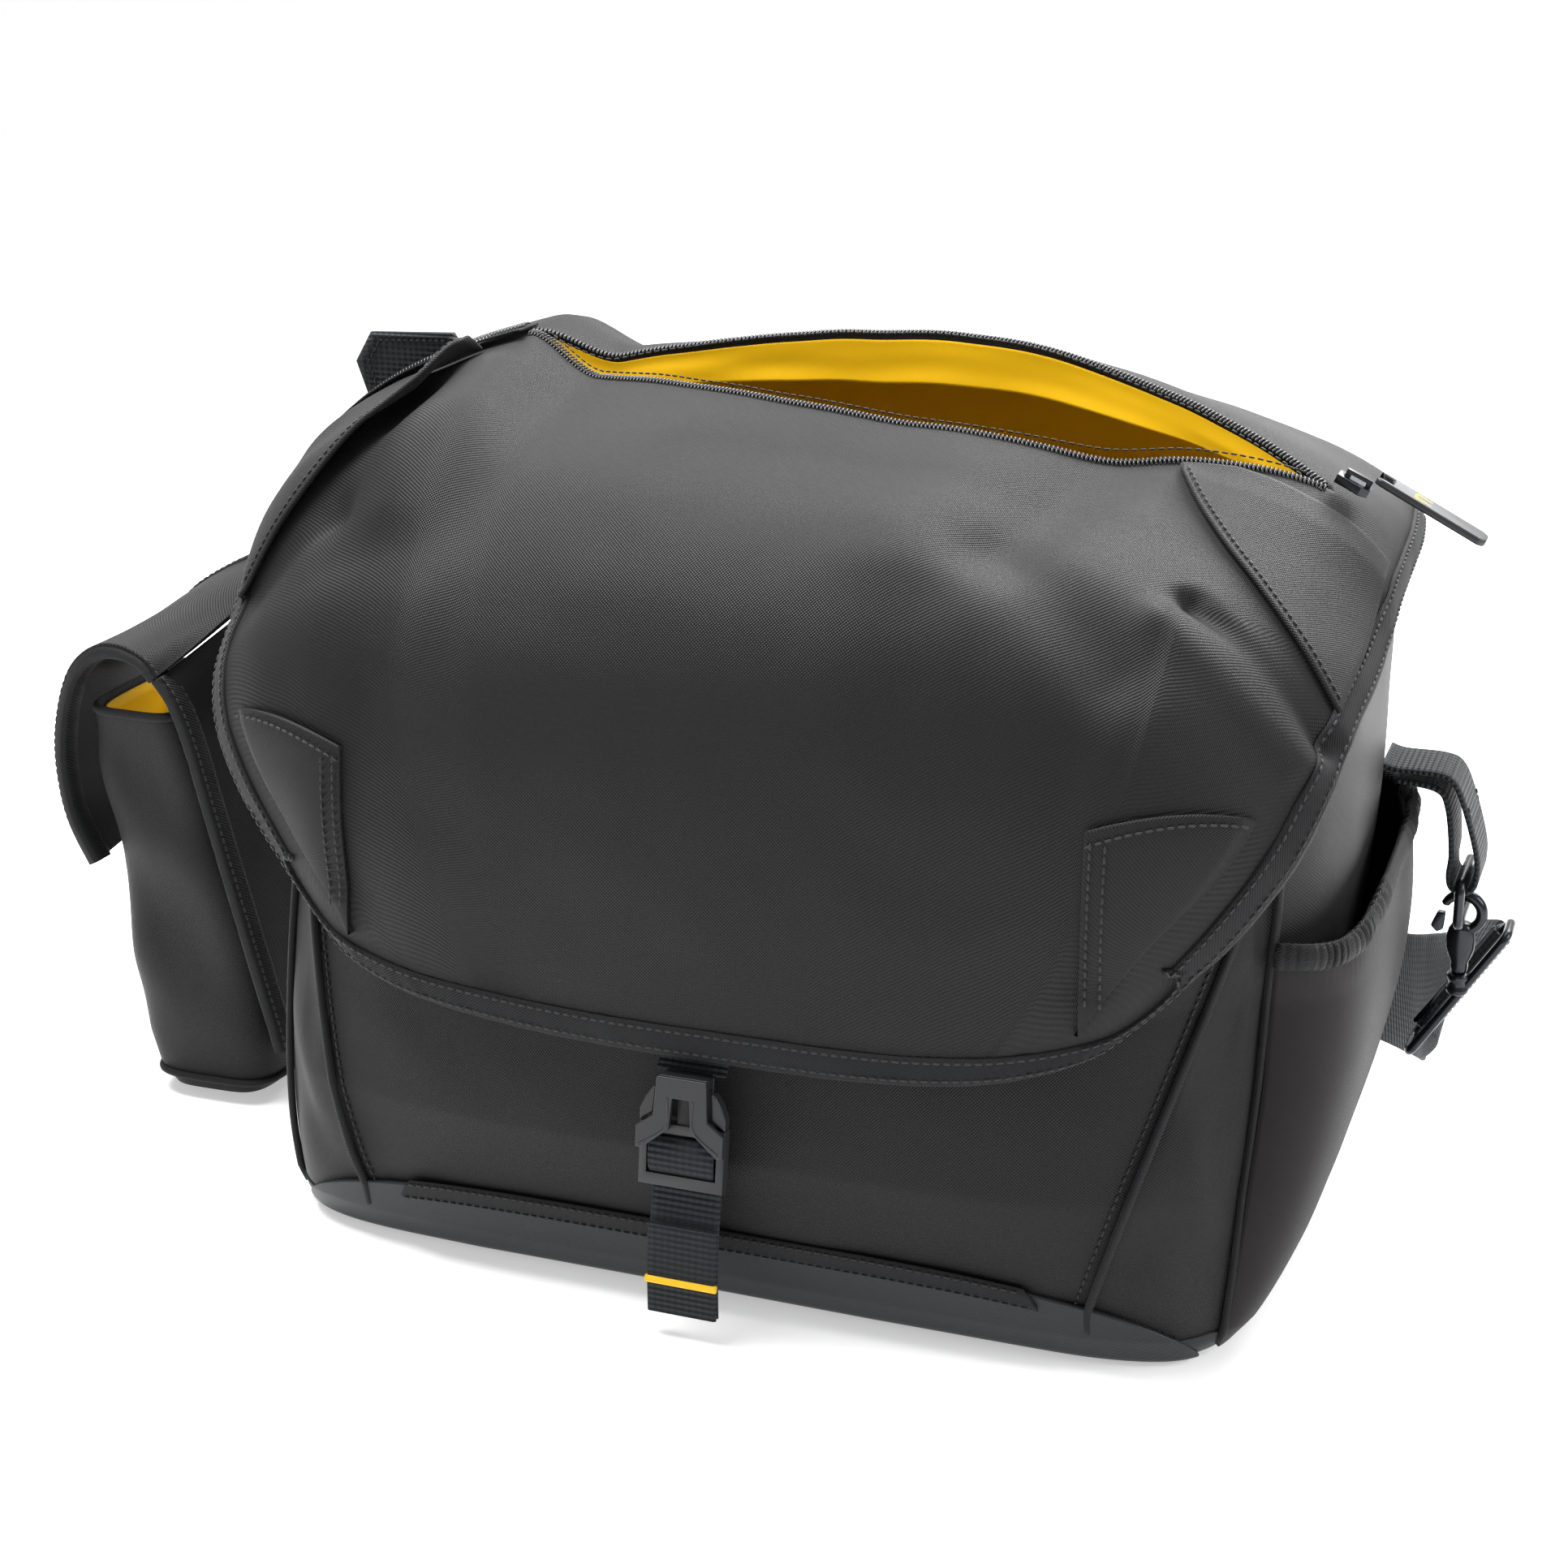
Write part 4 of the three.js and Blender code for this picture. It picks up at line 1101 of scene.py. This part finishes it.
def build_buckle():
    """Socket on the flap with two slanted arms, its two prong buttons, and the plug."""
    half = [(3.0, 31), (3.8, 20.5), (13.2, 12.9), (15.5, 12.9), (15.5, 20.6), (9.6, 24.8),
            (8.8, 38)]
    face = half + [(-x, z) for x, z in reversed(half)]
    buckle_plate("socket_face", face, -8.3, -6.2, "flap", 0.45, ("buckle_socket",))
    button = [(10.4, 24.9), (15.2, 21.6), (15.2, 25.8), (13.6, 29.8), (11.2, 33.4), (9.7, 33.6)]
    for side, sign in SIDES:
        ridge = [at_buckle(sign * x, -8.3, z) for x, z in ((4.6, 31), (5.0, 21.2), (14.0, 14.2))]
        tube(f"socket_ridge_{side}", path_points(ridge, 30), 0.35, PLASTIC, "flap")
        buckle_plate(f"prong_button_{side}", [(sign * x, z) for x, z in button], -6.0, -1.6,
                     f"prong_{side[0]}", 0.6, (f"prong_{side}",))
    for name, low, y0, y1 in (("socket_rear", 23, -1.0, 0.6), ("socket_bridge", 34.5, -6.3, -0.9)):
        buckle_plate(name, [(-8.6, low), (8.6, low), (8.6, 38), (-8.6, 38)], y0, y1, "flap", 0.4)
    refined("buckle_plug", PLASTIC, "plug", 0.7)
    wrap = [at_buckle(0, y - 3.2, 10.4 + z) for z, y in oval(6.0, 2.6, 40)]
    swept("plug_webbing_loop", wrap, lambda k: (1, 0, 0), strap_section(23.6, 1.3), WEBBING,
          "plug", ("plug_webbing",), closed=True)


def build_front_strap():
    """Webbing down the front with its folded, stitched end, and the tab above the buckle."""
    rows = [(-118.9, 62), (-121.4, 54), (-125.2, 40), (-127.6, 24), (-128.4, 8.5)]
    path = path_points([Vector((0, y, z)) for y, z in rows], 60)
    swept("closure_strap", path, lambda k: (1, 0, 0), strap_section(25, 1.9), WEBBING, "bag",
          ("front_strap",))
    fold = path_points([Vector((0, y - 1.9, z)) for y, z in rows[2:]], 40)
    for inset in (3.0, 22.0):
        line = [p + Vector((inset - 12.5, -0.2, 0)) for p in fold]
        stitch_line(line, (0, -1, 0.1), "bag", 2.6, 1.9, 0.35)
    for k in (3, 7):
        line = [fold[k] + Vector((x, -0.2, 0)) for x in spread(-9.5, 9.5, 20)]
        stitch_line(line, (0, -1, 0.1), "bag", 2.6, 1.9, 0.35)
    swept("closure_strap_fold", fold, lambda k: (1, 0, 0), strap_section(25, 1.8), WEBBING, "bag")
    low = Vector((0, -130.4, 20.5))
    bar = [low + Vector((x, 0, 0)) for x in spread(-12.7, 12.7, 16)]
    tube("strap_piping", bar, 1.35, PIPING, "bag", hint=(0, 0.2, 1))
    tab = [(-110.4, 130), (-110.6, 112), (-111.0, 100), (-112.6, 95), (-115.6, 91.6)]
    path = path_points([Vector((0, y, z)) for y, z in tab], 40)
    swept("closure_tab", path, lambda k: (1, 0, 0), strap_section(25, 1.7), WEBBING, "flap",
          ("buckle_tab",))


# ---- Side pouch ----------------------------------------------------------------------------
POUCH_SECTIONS = [(4, -272, -228), (10, -279, -224), (24, -283, -222), (95, -290, -233),
                  (POUCH_TOP, -293, -250)]


def pouch_outline(z, inset=0.0):
    k = 0
    while k < len(POUCH_SECTIONS) - 2 and POUCH_SECTIONS[k + 1][0] < z:
        k += 1
    low, high = POUCH_SECTIONS[k], POUCH_SECTIONS[k + 1]
    t = min(1, max(0, (z - low[0]) / (high[0] - low[0])))
    left, right = mix(low[1], high[1], t), mix(low[2], high[2], t)
    return (left + right) / 2, (right - left) / 2 - inset


def pouch_skin(u, t, inset=0.0, low=4, high=POUCH_TOP):
    """Wall of the pouch: round its plan with u, from the top down with t."""
    z = mix(high, low, t)
    cx, hx = pouch_outline(z, inset)
    cy, hy = (POUCH_FRONT + POUCH_BACK) / 2, (POUCH_BACK - POUCH_FRONT) / 2 - inset
    angle = 2 * pi * u
    c, s = cos(angle), sin(angle)
    p = Vector((cx + hx * bulge(c, 0.42), cy + hy * bulge(s, 0.42), z))
    outward = Vector((c, s, 0))
    slack = sin(0.085 * (z + 0.9 * p.x) + 2.2 * noise.noise(p * 0.02)) * smooth((z - 20) / 40)
    return p + outward * (body_relief(p, 2.0) + 1.3 * slack * smooth((170 - z) / 30))


def build_pouch():
    """Side pouch: walls, lining, floor and bound rims."""
    sheet("pouch_body", pouch_skin, 130, 60, FABRIC, "bag",
          ("pouch_shell",), 2.2)
    sheet("pouch_body_lining", lambda u, t: pouch_skin(u, t, 3.4, 12), 90, 30, LINING, "bag",
          ("pouch_lining",), 0.8)
    floor = [pouch_skin(i / 60, 1, 1.2) for i in range(60)]
    base = new_piece("pouch_base", floor, [tuple(range(60))], COATED, "bag")
    thicken(base, 2.5, inward=False)
    # Bound rim of the pouch and its bottom seam.
    rim_line = [pouch_skin(i / 130, 0.0, 0.6) for i in range(130)]
    tube("pouch_rim", rim_line, 1.9, BINDING, "bag", closed=True,
         hint=(0.02, 0.01, 1))
    seam = [pouch_skin(i / 130, 0.97, -0.8) for i in range(130)]
    tube("pouch_seam", seam, 1.4, BINDING, "bag", closed=True, hint=(0.02, 0.01, 1))


# Wrap of the pouch in X and Z: the front edge of its lid curls into a narrow arch, while its
# back edge runs up to the seam on the bag.
LID_FRONT = [(-257, 176), (-262, 182), (-272, 185.5), (-283, 184), (-294, 175), (-301.5, 158),
             (-305, 138), (-303, 115), (-294.5, 96)]
LID_BACK = [(-209, 223), (-222, 217.5), (-240, 211), (-260, 202.5), (-279, 191), (-293, 175),
            (-300, 152), (-300.5, 128), (-296, 104)]
LEG_FRONT = [(-256, 176), (-249.5, 166), (-244, 149), (-238.5, 124), (-232, 95), (-224, 60),
             (-216, 25)]
LEG_BACK = [(-207, 221), (-212, 203), (-217.5, 180), (-221, 150), (-222, 120), (-220, 75),
            (-215, 25)]
WRAP_STEPS = 90


def wrap_grid(front, back):
    """Front and back profile points of the wrap, matched step by step."""
    return [
        (Vector((a.x, 0, a.z)), Vector((b.x, 0, b.z)))
        for a, b in zip(*(path_points([Vector((x, 0, z)) for x, z in rows], WRAP_STEPS)
                          for rows in (front, back)))
    ]


def wrap_sheet(name, front, back, body, node, sign):
    grid = wrap_grid(front, back)

    def point(u, t):
        k = round(t * WRAP_STEPS)
        a, b = grid[k]
        p = a.lerp(b, smooth(u) * 0.5 + u * 0.5)
        before, after = grid[max(0, k - 1)], grid[min(WRAP_STEPS, k + 1)]
        tangent = (after[0] - before[0]).lerp(after[1] - before[1], u).normalized()
        p.y = mix(-27, 46, u)
        outward = Vector((tangent.z, 0, -tangent.x)) * sign
        return p + outward * (2.0 * sin(pi * u) * sin(pi * t) + 0.9 * body_relief(p, 1.5))
    return sheet(name, point, 44, WRAP_STEPS, FABRIC, body, node, 2.2)


def band_edge(name, points, y, body, width=9.5, front=True):
    """Wide twill binding folded over the front or back edge of the pouch's wrap."""
    sign = -1 if front else 1
    verts, uv, outwards = [], [], []
    run = 0.0
    profile = [(2.0, width), (2.3, width - 0.8), (2.1, 2.0), (1.2, 0.2), (-1.6, -0.2), (-3.2, 1.2),
               (-3.6, width - 1.2), (-2.6, width)]
    count = len(points)
    for k, p in enumerate(points):
        a, b = points[max(0, k - 1)], points[min(count - 1, k + 1)]
        tangent = (b - a).normalized()
        outward = Vector((-tangent.z, 0, tangent.x))
        outwards.append(outward)
        if k:
            run += (p - points[k - 1]).length * MM
        edge = 0.0
        for h, d in profile:
            pucker = 0.25 * noise.noise(Vector((k * 0.4, h, y * 0.1)))
            verts.append(Vector((p.x, y - sign * d, p.z)) + outward * (h + pucker))
            uv.append((edge, run))
            edge += 0.003
    faces = ring_faces(count, len(profile), turned=True)
    new_piece(name, verts, faces, BINDING, body, (), uv)
    for d in (1.8, width - 1.6):
        line = [Vector((p.x, y - sign * d, p.z)) + outward * 2.3
                for p, outward in zip(points, outwards)]
        stitch_line(line, outwards, body, 3.2, 2.2, 0.4)


def build_pouch_wrap():
    wrap_sheet("pouch_wrap_lid", LID_FRONT, LID_BACK, "lid", ("pouch_lid",), -1)
    wrap_sheet("pouch_wrap_back", LEG_FRONT, LEG_BACK, "bag", ("pouch_hanger",), 1)
    lid = wrap_grid(LID_FRONT, LID_BACK)[::-1]
    leg = wrap_grid(LEG_FRONT, LEG_BACK)
    band_edge("pouch_lid_binding", [front for front, _ in lid], -28.5, "lid")
    band_edge("pouch_lid_binding_rear", [back for _, back in lid], 47, "lid", front=False)
    band_edge("pouch_leg_binding", [front for front, _ in leg], -28, "bag")


# ---- Shoulder strap hardware ---------------------------------------------------------------
def mirror_x(points, sign):
    return [Vector((p.x * sign, p.y, p.z)) for p in points]


def rounded_loop(corners, bend, steps=8):
    """Points round a rectangle whose corners are bent to a radius."""
    points = []
    for k, corner in enumerate(corners):
        back = (corners[k - 1] - corner).normalized()
        ahead = (corners[(k + 1) % len(corners)] - corner).normalized()
        for q in range(steps + 1):
            turn = pi / 2 * q / steps
            outward = -ahead * cos(turn) - back * sin(turn)
            points.append(corner + (back + ahead + outward) * bend)
    return points


def subdivided(points, longest):
    """Closed loop of points with its long stretches cut into shorter ones."""
    result = []
    for a, b in zip(points, points[1:] + points[:1]):
        parts = max(1, int((b - a).length / longest))
        result += [a.lerp(b, t / parts) for t in range(parts)]
    return result


def turned_piece(name, profile, sign, body, depth):
    """Turned steel piece on the hook's upright axis from (radius, z), no deeper than depth."""
    sides = 24
    verts = []
    for size, z in profile:
        for q in range(sides):
            turn = 2 * pi * q / sides
            verts.append(Vector((HARDWARE_X + size * cos(turn),
                                 HARDWARE_Y + min(size, depth) * sin(turn), z)))
    new_piece(name, mirror_x(verts, sign), ring_faces(len(profile), sides), STEEL, body)


def build_anchor(side, sign):
    """Webbing that is sewn to the bag's side and folded round the ring."""
    y = HARDWARE_Y
    outer = [(193.6, 162), (199, 160.5), (213, 160.2), (219, 157.5), (223.4, 148), (228.2, 132),
             (228.9, 123), (227.6, 118.4), (224, 116.7), (220.4, 118.4), (219.2, 123), (219.6, 132),
             (217.4, 148), (213, 154.6), (199, 156.4)]
    path = path_points([Vector((px, y, pz)) for px, pz in outer], 110)
    swept(f"anchor_webbing_{side}", mirror_x(path, sign), lambda k: (0, 1, 0),
          strap_section(25, 1.9), WEBBING, "bag", (f"anchor_loop_{side}",))
    for z0 in (146, 141):
        line = [Vector((sign * (224.9 + (146 - z0) * 0.34), y + q, z0))
                for q in spread(-10.5, 10.5, 24)]
        stitch_line(line, (sign, 0, 0.25), "bag", 2.4, 1.8, 0.4)
    for q in (-10.6, 10.6):
        line = [Vector((sign * mix(224.4, 228.6, t), y + q, mix(149, 131, t)))
                for t in spread(0, 1, 12)]
        stitch_line(line, (sign, 0, 0.25), "bag", 2.4, 1.8, 0.4)


def build_hardware(side, sign):
    """Ring, snap hook with its gate and trunk, wire loop and swivel collar of one side."""
    letter = side[0]
    x, y = HARDWARE_X, HARDWARE_Y
    reach, low = 15.4, RING_Z - RING_DROP
    corners = [Vector((x, y - reach, RING_Z)), Vector((x, y + reach, RING_Z)),
               Vector((x, y + reach, low)), Vector((x, y - reach, low))]
    ring = mirror_x(subdivided(rounded_loop(corners, 3.4), 2), sign)
    tube(f"oblong_ring_{side}", ring, WIRE, STEEL, f"ring_{letter}",
         (f"ring_{side}",), closed=True, hint=(1, 0.02, 0.01))

    # Claw of the hook: an open curl whose section thins towards its tip.
    sides, steps = 16, 48
    verts = []
    for k in range(steps + 1):
        angle = radians(mix(-66, 160, k / steps))
        outward = Vector((cos(angle), 0, sin(angle)))
        p = Vector((x + 6.8 * cos(angle), y, HOOK_Z + 6.8 * sin(angle)))
        size = 2.1 * (1 - 0.25 * smooth((k - 34) / 14)) * (1 if k < steps else 0.6)
        for q in range(sides):
            turn = 2 * pi * q / sides
            verts.append(p + outward * (size * cos(turn)) + Vector((0, 1.12 * size * sin(turn), 0)))
    new_piece(f"hook_claw_{side}", mirror_x(verts, sign), ring_faces(steps + 1, sides), STEEL,
              f"hook_{letter}", (f"hook_{side}",))
    trunk = [(0.6, 81.6), (2.6, 81.8), (3.1, 82.8), (3.3, 84.5), (3.2, 86), (4.4, 88.6),
             (5.2, 91.5), (5.3, 95.5), (4.6, 98.8), (3.2, 101), (0.6, 101.4)]
    turned_piece(f"hook_trunk_{side}", trunk, sign, f"hook_{letter}", 3.4)
    refined(f"gate_{side}", STEEL, f"catch_{letter}", 0.7)

    along = Vector((sin(LOOP_TILT), 0, cos(LOOP_TILT)))
    corners = [Vector((x, y + dy, LOOP_Z)) + along * a
               for a, dy in ((-30, 0), (30, 0), (30, LOOP_DEPTH), (-30, LOOP_DEPTH))]
    loop = subdivided(rounded_loop(corners, 3.6), 2.5)
    aside = along.cross(Vector((0, 1, 0)))
    tube(f"strap_wire_{side}", mirror_x(loop, sign), WIRE, STEEL, "bag",
         (f"strap_loop_{side}",), closed=True, hint=(aside.x * sign, aside.y, aside.z))
    collar = [(0.5, 73.3), (3.4, 73.4), (4.0, 74.2), (4.0, 75.6), (3.5, 76.1), (3.5, 78.8),
              (4.0, 79.3), (4.0, 80.8), (3.4, 81.4), (0.5, 81.4)]
    turned_piece(f"swivel_collar_{side}", collar, sign, "bag", 4.0)


# ---- Shoulder strap ------------------------------------------------------------------------
STRAP_HALF = [(224, 89.2, 72), (221, 98, 66), (213, 114, 52), (206, 135, 40), (198, 155, 31),
              (182, 174, 26.2), (160, 185.5, 25.4), (139, 193, 25.4), (118, 200.5, 25.4),
              (90, 207, 25.4), (50, 209, 25.4)]


def strap_lean(t):
    """Direction across the strap's width; it leans towards both ends."""
    end = min(t, 1 - t)
    tilt = LOOP_TILT * max(0, 1 - end / 0.16)
    return Vector((sin(tilt) * (1 if t < 0.5 else -1), 0, cos(tilt)))


def build_strap():
    """Shoulder strap on the floor behind the bag, and its ends on the wire loops."""
    half = [Vector(p) for p in STRAP_HALF]
    rest = [Vector((-p.x, p.y, p.z)) for p in reversed(half)]
    path = path_points(half + [Vector((0, 209.5, 25.4))] + rest, 420)
    count = len(path)
    swept("strap_webbing", path, lambda k: strap_lean(k / (count - 1)), strap_section(50, 2.1),
          WEBBING, "bag", ("shoulder_strap",))
    along = Vector((sin(LOOP_TILT), 0, cos(LOOP_TILT)))
    aside = Vector((cos(LOOP_TILT), 0, -sin(LOOP_TILT)))
    centre = Vector((HARDWARE_X, HARDWARE_Y + LOOP_DEPTH, LOOP_Z))
    # End of the strap, folded round the far bar of its wire loop and sewn down.
    turns = [centre + aside * (3.2 * cos(angle)) + Vector((0, 3.2 * sin(angle), 0))
             for angle in spread(radians(50), radians(-230), 40)]
    ends = [centre + aside * 1.2 + Vector((0, 26, -9)), centre + aside * 2.4 + Vector((0, 10, -3))]
    fold = ends + turns + [centre - aside * 2.2 + Vector((0, 9, -3))]
    for side, sign in SIDES[::-1]:
        lean = Vector((along.x * sign, 0, along.z))
        swept(f"strap_wrap_{side}", mirror_x(fold, sign), lambda k: lean, strap_section(49, 1.7),
              WEBBING, "bag", (f"strap_fold_{side}",))
        for shift in (13, 17, 27):
            mid = Vector((sign * (HARDWARE_X + 1.3), centre.y + shift, LOOP_Z - shift * 0.42))
            line = [mid + lean * q + Vector((sign * 1.6, 0, 0)) for q in spread(-21, 21, 30)]
            stitch_line(line, (sign, -0.2, 0), "bag", 2.6, 2.0, 0.4)


def build_pad():
    """Shoulder pad, a long foam piece with rounded edges and a quilted middle."""
    reach = 88

    def point(u, t):
        x = mix(-reach, reach, u)
        angle = 2 * pi * t
        y = 213.4 + 2.3 * (1 - (x / reach) ** 2)
        c, s = cos(angle), sin(angle)
        end = min(1, 8 * u, 8 * (1 - u)) ** 0.5 if 0 < u < 1 else 0.15
        height = 30 * end * bulge(c, 0.55)
        thick = 4.2 * end * bulge(s, 0.8)
        quilt = 0.5 * cos(x * 0.22) * cos(height * 0.25) * (1 if s > 0 else 0)
        return Vector((x, y + thick + quilt, 30.4 + height))
    pad = sheet("shoulder_pad_foam", point, 90, 48, PADDING, "bag",
                ("shoulder_pad",), 0)
    refined("strap_adjuster", PLASTIC, "adjuster", 1.0)


# ---- Inside --------------------------------------------------------------------------------
def build_inside():
    """Lining, floor pad and two padded dividers of the main compartment."""
    def wall(u, t):
        phi = mix(-269.7, 89.7, u)
        z = mix(186, 7.5, t)
        p = rim(phi, z, -WALL - 1.2)
        return rim(phi, z, -WALL - 1.2 + 0.8 * body_relief(p))
    sheet("inner_lining", wall, 160, 24, LINING, "bag", ("lining",), 1.0)
    cushion = plan_loops("floor_pad", [(-WALL - 12, 6.6), (-WALL - 6.5, 7.6), (-WALL - 5.6, 10.5),
                                       (-WALL - 6.5, 13.2), (-WALL - 12, 14.2)], 160, PADDING,
                         ("bottom_pad",))
    z_half, z_mid = 76.8, 91.2
    for side, x0 in (("left", -62), ("right", 62)):
        def point(u, t, x0=x0):
            angle = 2 * pi * t
            c, s = cos(angle), sin(angle)
            end = min(1, (8 * min(u, 1 - u)) + 0.12) ** 0.5
            y = mix(-82, 79, u)
            puff = 1 + 0.18 * noise.noise(Vector((y * 0.03, x0, z_mid * 0.01)))
            x = x0 + 4.0 * end * puff * bulge(s, 0.6)
            return Vector((x, y, z_mid + z_half * bulge(c, 0.4)))
        piece = sheet(f"divider_pad_{side}", point, 50, 40, PADDING, "bag",
                      (f"divider_{side}",), 0)


# ---- Stage, lights and camera --------------------------------------------------------------
def build_stage():
    """Pale floor that rises behind the bag, soft lamps, and a white surround."""
    material, _, shader = new_material("pale_floor")
    shader.inputs["Base Color"].default_value = (0.86, 0.86, 0.86, 1)
    shader.inputs["Roughness"].default_value = 0.6
    shader.inputs["Emission Color"].default_value = (1, 1, 1, 1)
    shader.inputs["Emission Strength"].default_value = 0.42
    verts = [(-6, -4, -0.0004), (6, -4, -0.0004), (6, 4, -0.0004), (-6, 4, -0.0004),
             (6, 4.2, 3), (-6, 4.2, 3)]
    mesh = bpy.data.meshes.new("floor")
    mesh.from_pydata(verts, [], [(0, 1, 2, 3), (3, 2, 4, 5)])
    mesh.materials.append(material)
    floor = bpy.data.objects.new("floor", mesh)
    bpy.context.scene.collection.objects.link(floor)

    world = bpy.data.worlds.new("studio")
    world.use_nodes = True
    tree = world.node_tree
    surround = tree.nodes["Background"]
    surround.inputs["Color"].default_value = (1, 1, 1, 1)
    # The surround is seen white, and lights the bag at 0.4 of that.
    seen = tree.nodes.new("ShaderNodeLightPath").outputs["Is Camera Ray"]
    level = math_node(tree, "MULTIPLY_ADD", seen, 0.6)
    level.node.inputs[2].default_value = 0.4
    tree.links.new(level, surround.inputs["Strength"])
    bpy.context.scene.world = world
    bpy.context.scene.view_settings.view_transform = "Standard"

    for name, place, size, energy in (
        ("key", (-0.55, 0.15, 1.6), 1.1, 62), ("rear", (0.5, 1.2, 1.3), 1.0, 38),
        ("side", (1.5, -0.1, 0.9), 0.7, 14),
    ):
        light = bpy.data.lights.new(name, "AREA")
        light.energy = energy
        light.size = size
        lamp = bpy.data.objects.new(name, light)
        lamp.location = place
        aim = Vector((0, 0, 0.15)) - Vector(place)
        lamp.rotation_euler = aim.to_track_quat("-Z", "Y").to_euler()
        bpy.context.scene.collection.objects.link(lamp)


def build_camera():
    """Camera by azimuth, elevation and roll in degrees, and distance in metres."""
    azimuth, elevation, roll = radians(21.41), radians(19.86), radians(-1.22)
    distance, target = 0.938, Vector((-0.0103, 0, 0.1515))
    back = Vector((sin(azimuth) * cos(elevation), -cos(azimuth) * cos(elevation), sin(elevation)))
    right = Vector((cos(azimuth), sin(azimuth), 0))
    up = back.cross(right)
    right, up = right * cos(roll) + up * sin(roll), up * cos(roll) - right * sin(roll)
    lens = bpy.data.cameras.new("camera")
    lens.sensor_width = 36
    lens.lens = 59.59
    camera = bpy.data.objects.new("camera", lens)
    turn = Matrix((right, up, back)).transposed().to_4x4()
    camera.matrix_world = Matrix.Translation(target + back * distance) @ turn
    bpy.context.scene.collection.objects.link(camera)
    bpy.context.scene.camera = camera


build_flap_cloth()
build_flap_lining()
build_flap_binding()
build_wings()
build_corner_patches()
build_mouth()
build_slider()
build_pull_tab()
hinge_cloth()
build_body()
build_base()
build_pocket()
build_buckle()
build_front_strap()
build_pouch()
build_pouch_wrap()
for side, sign in SIDES[::-1]:
    build_anchor(side, sign)
    build_hardware(side, sign)
build_strap()
build_pad()
build_inside()
sew_all()
build_stage()
build_camera()
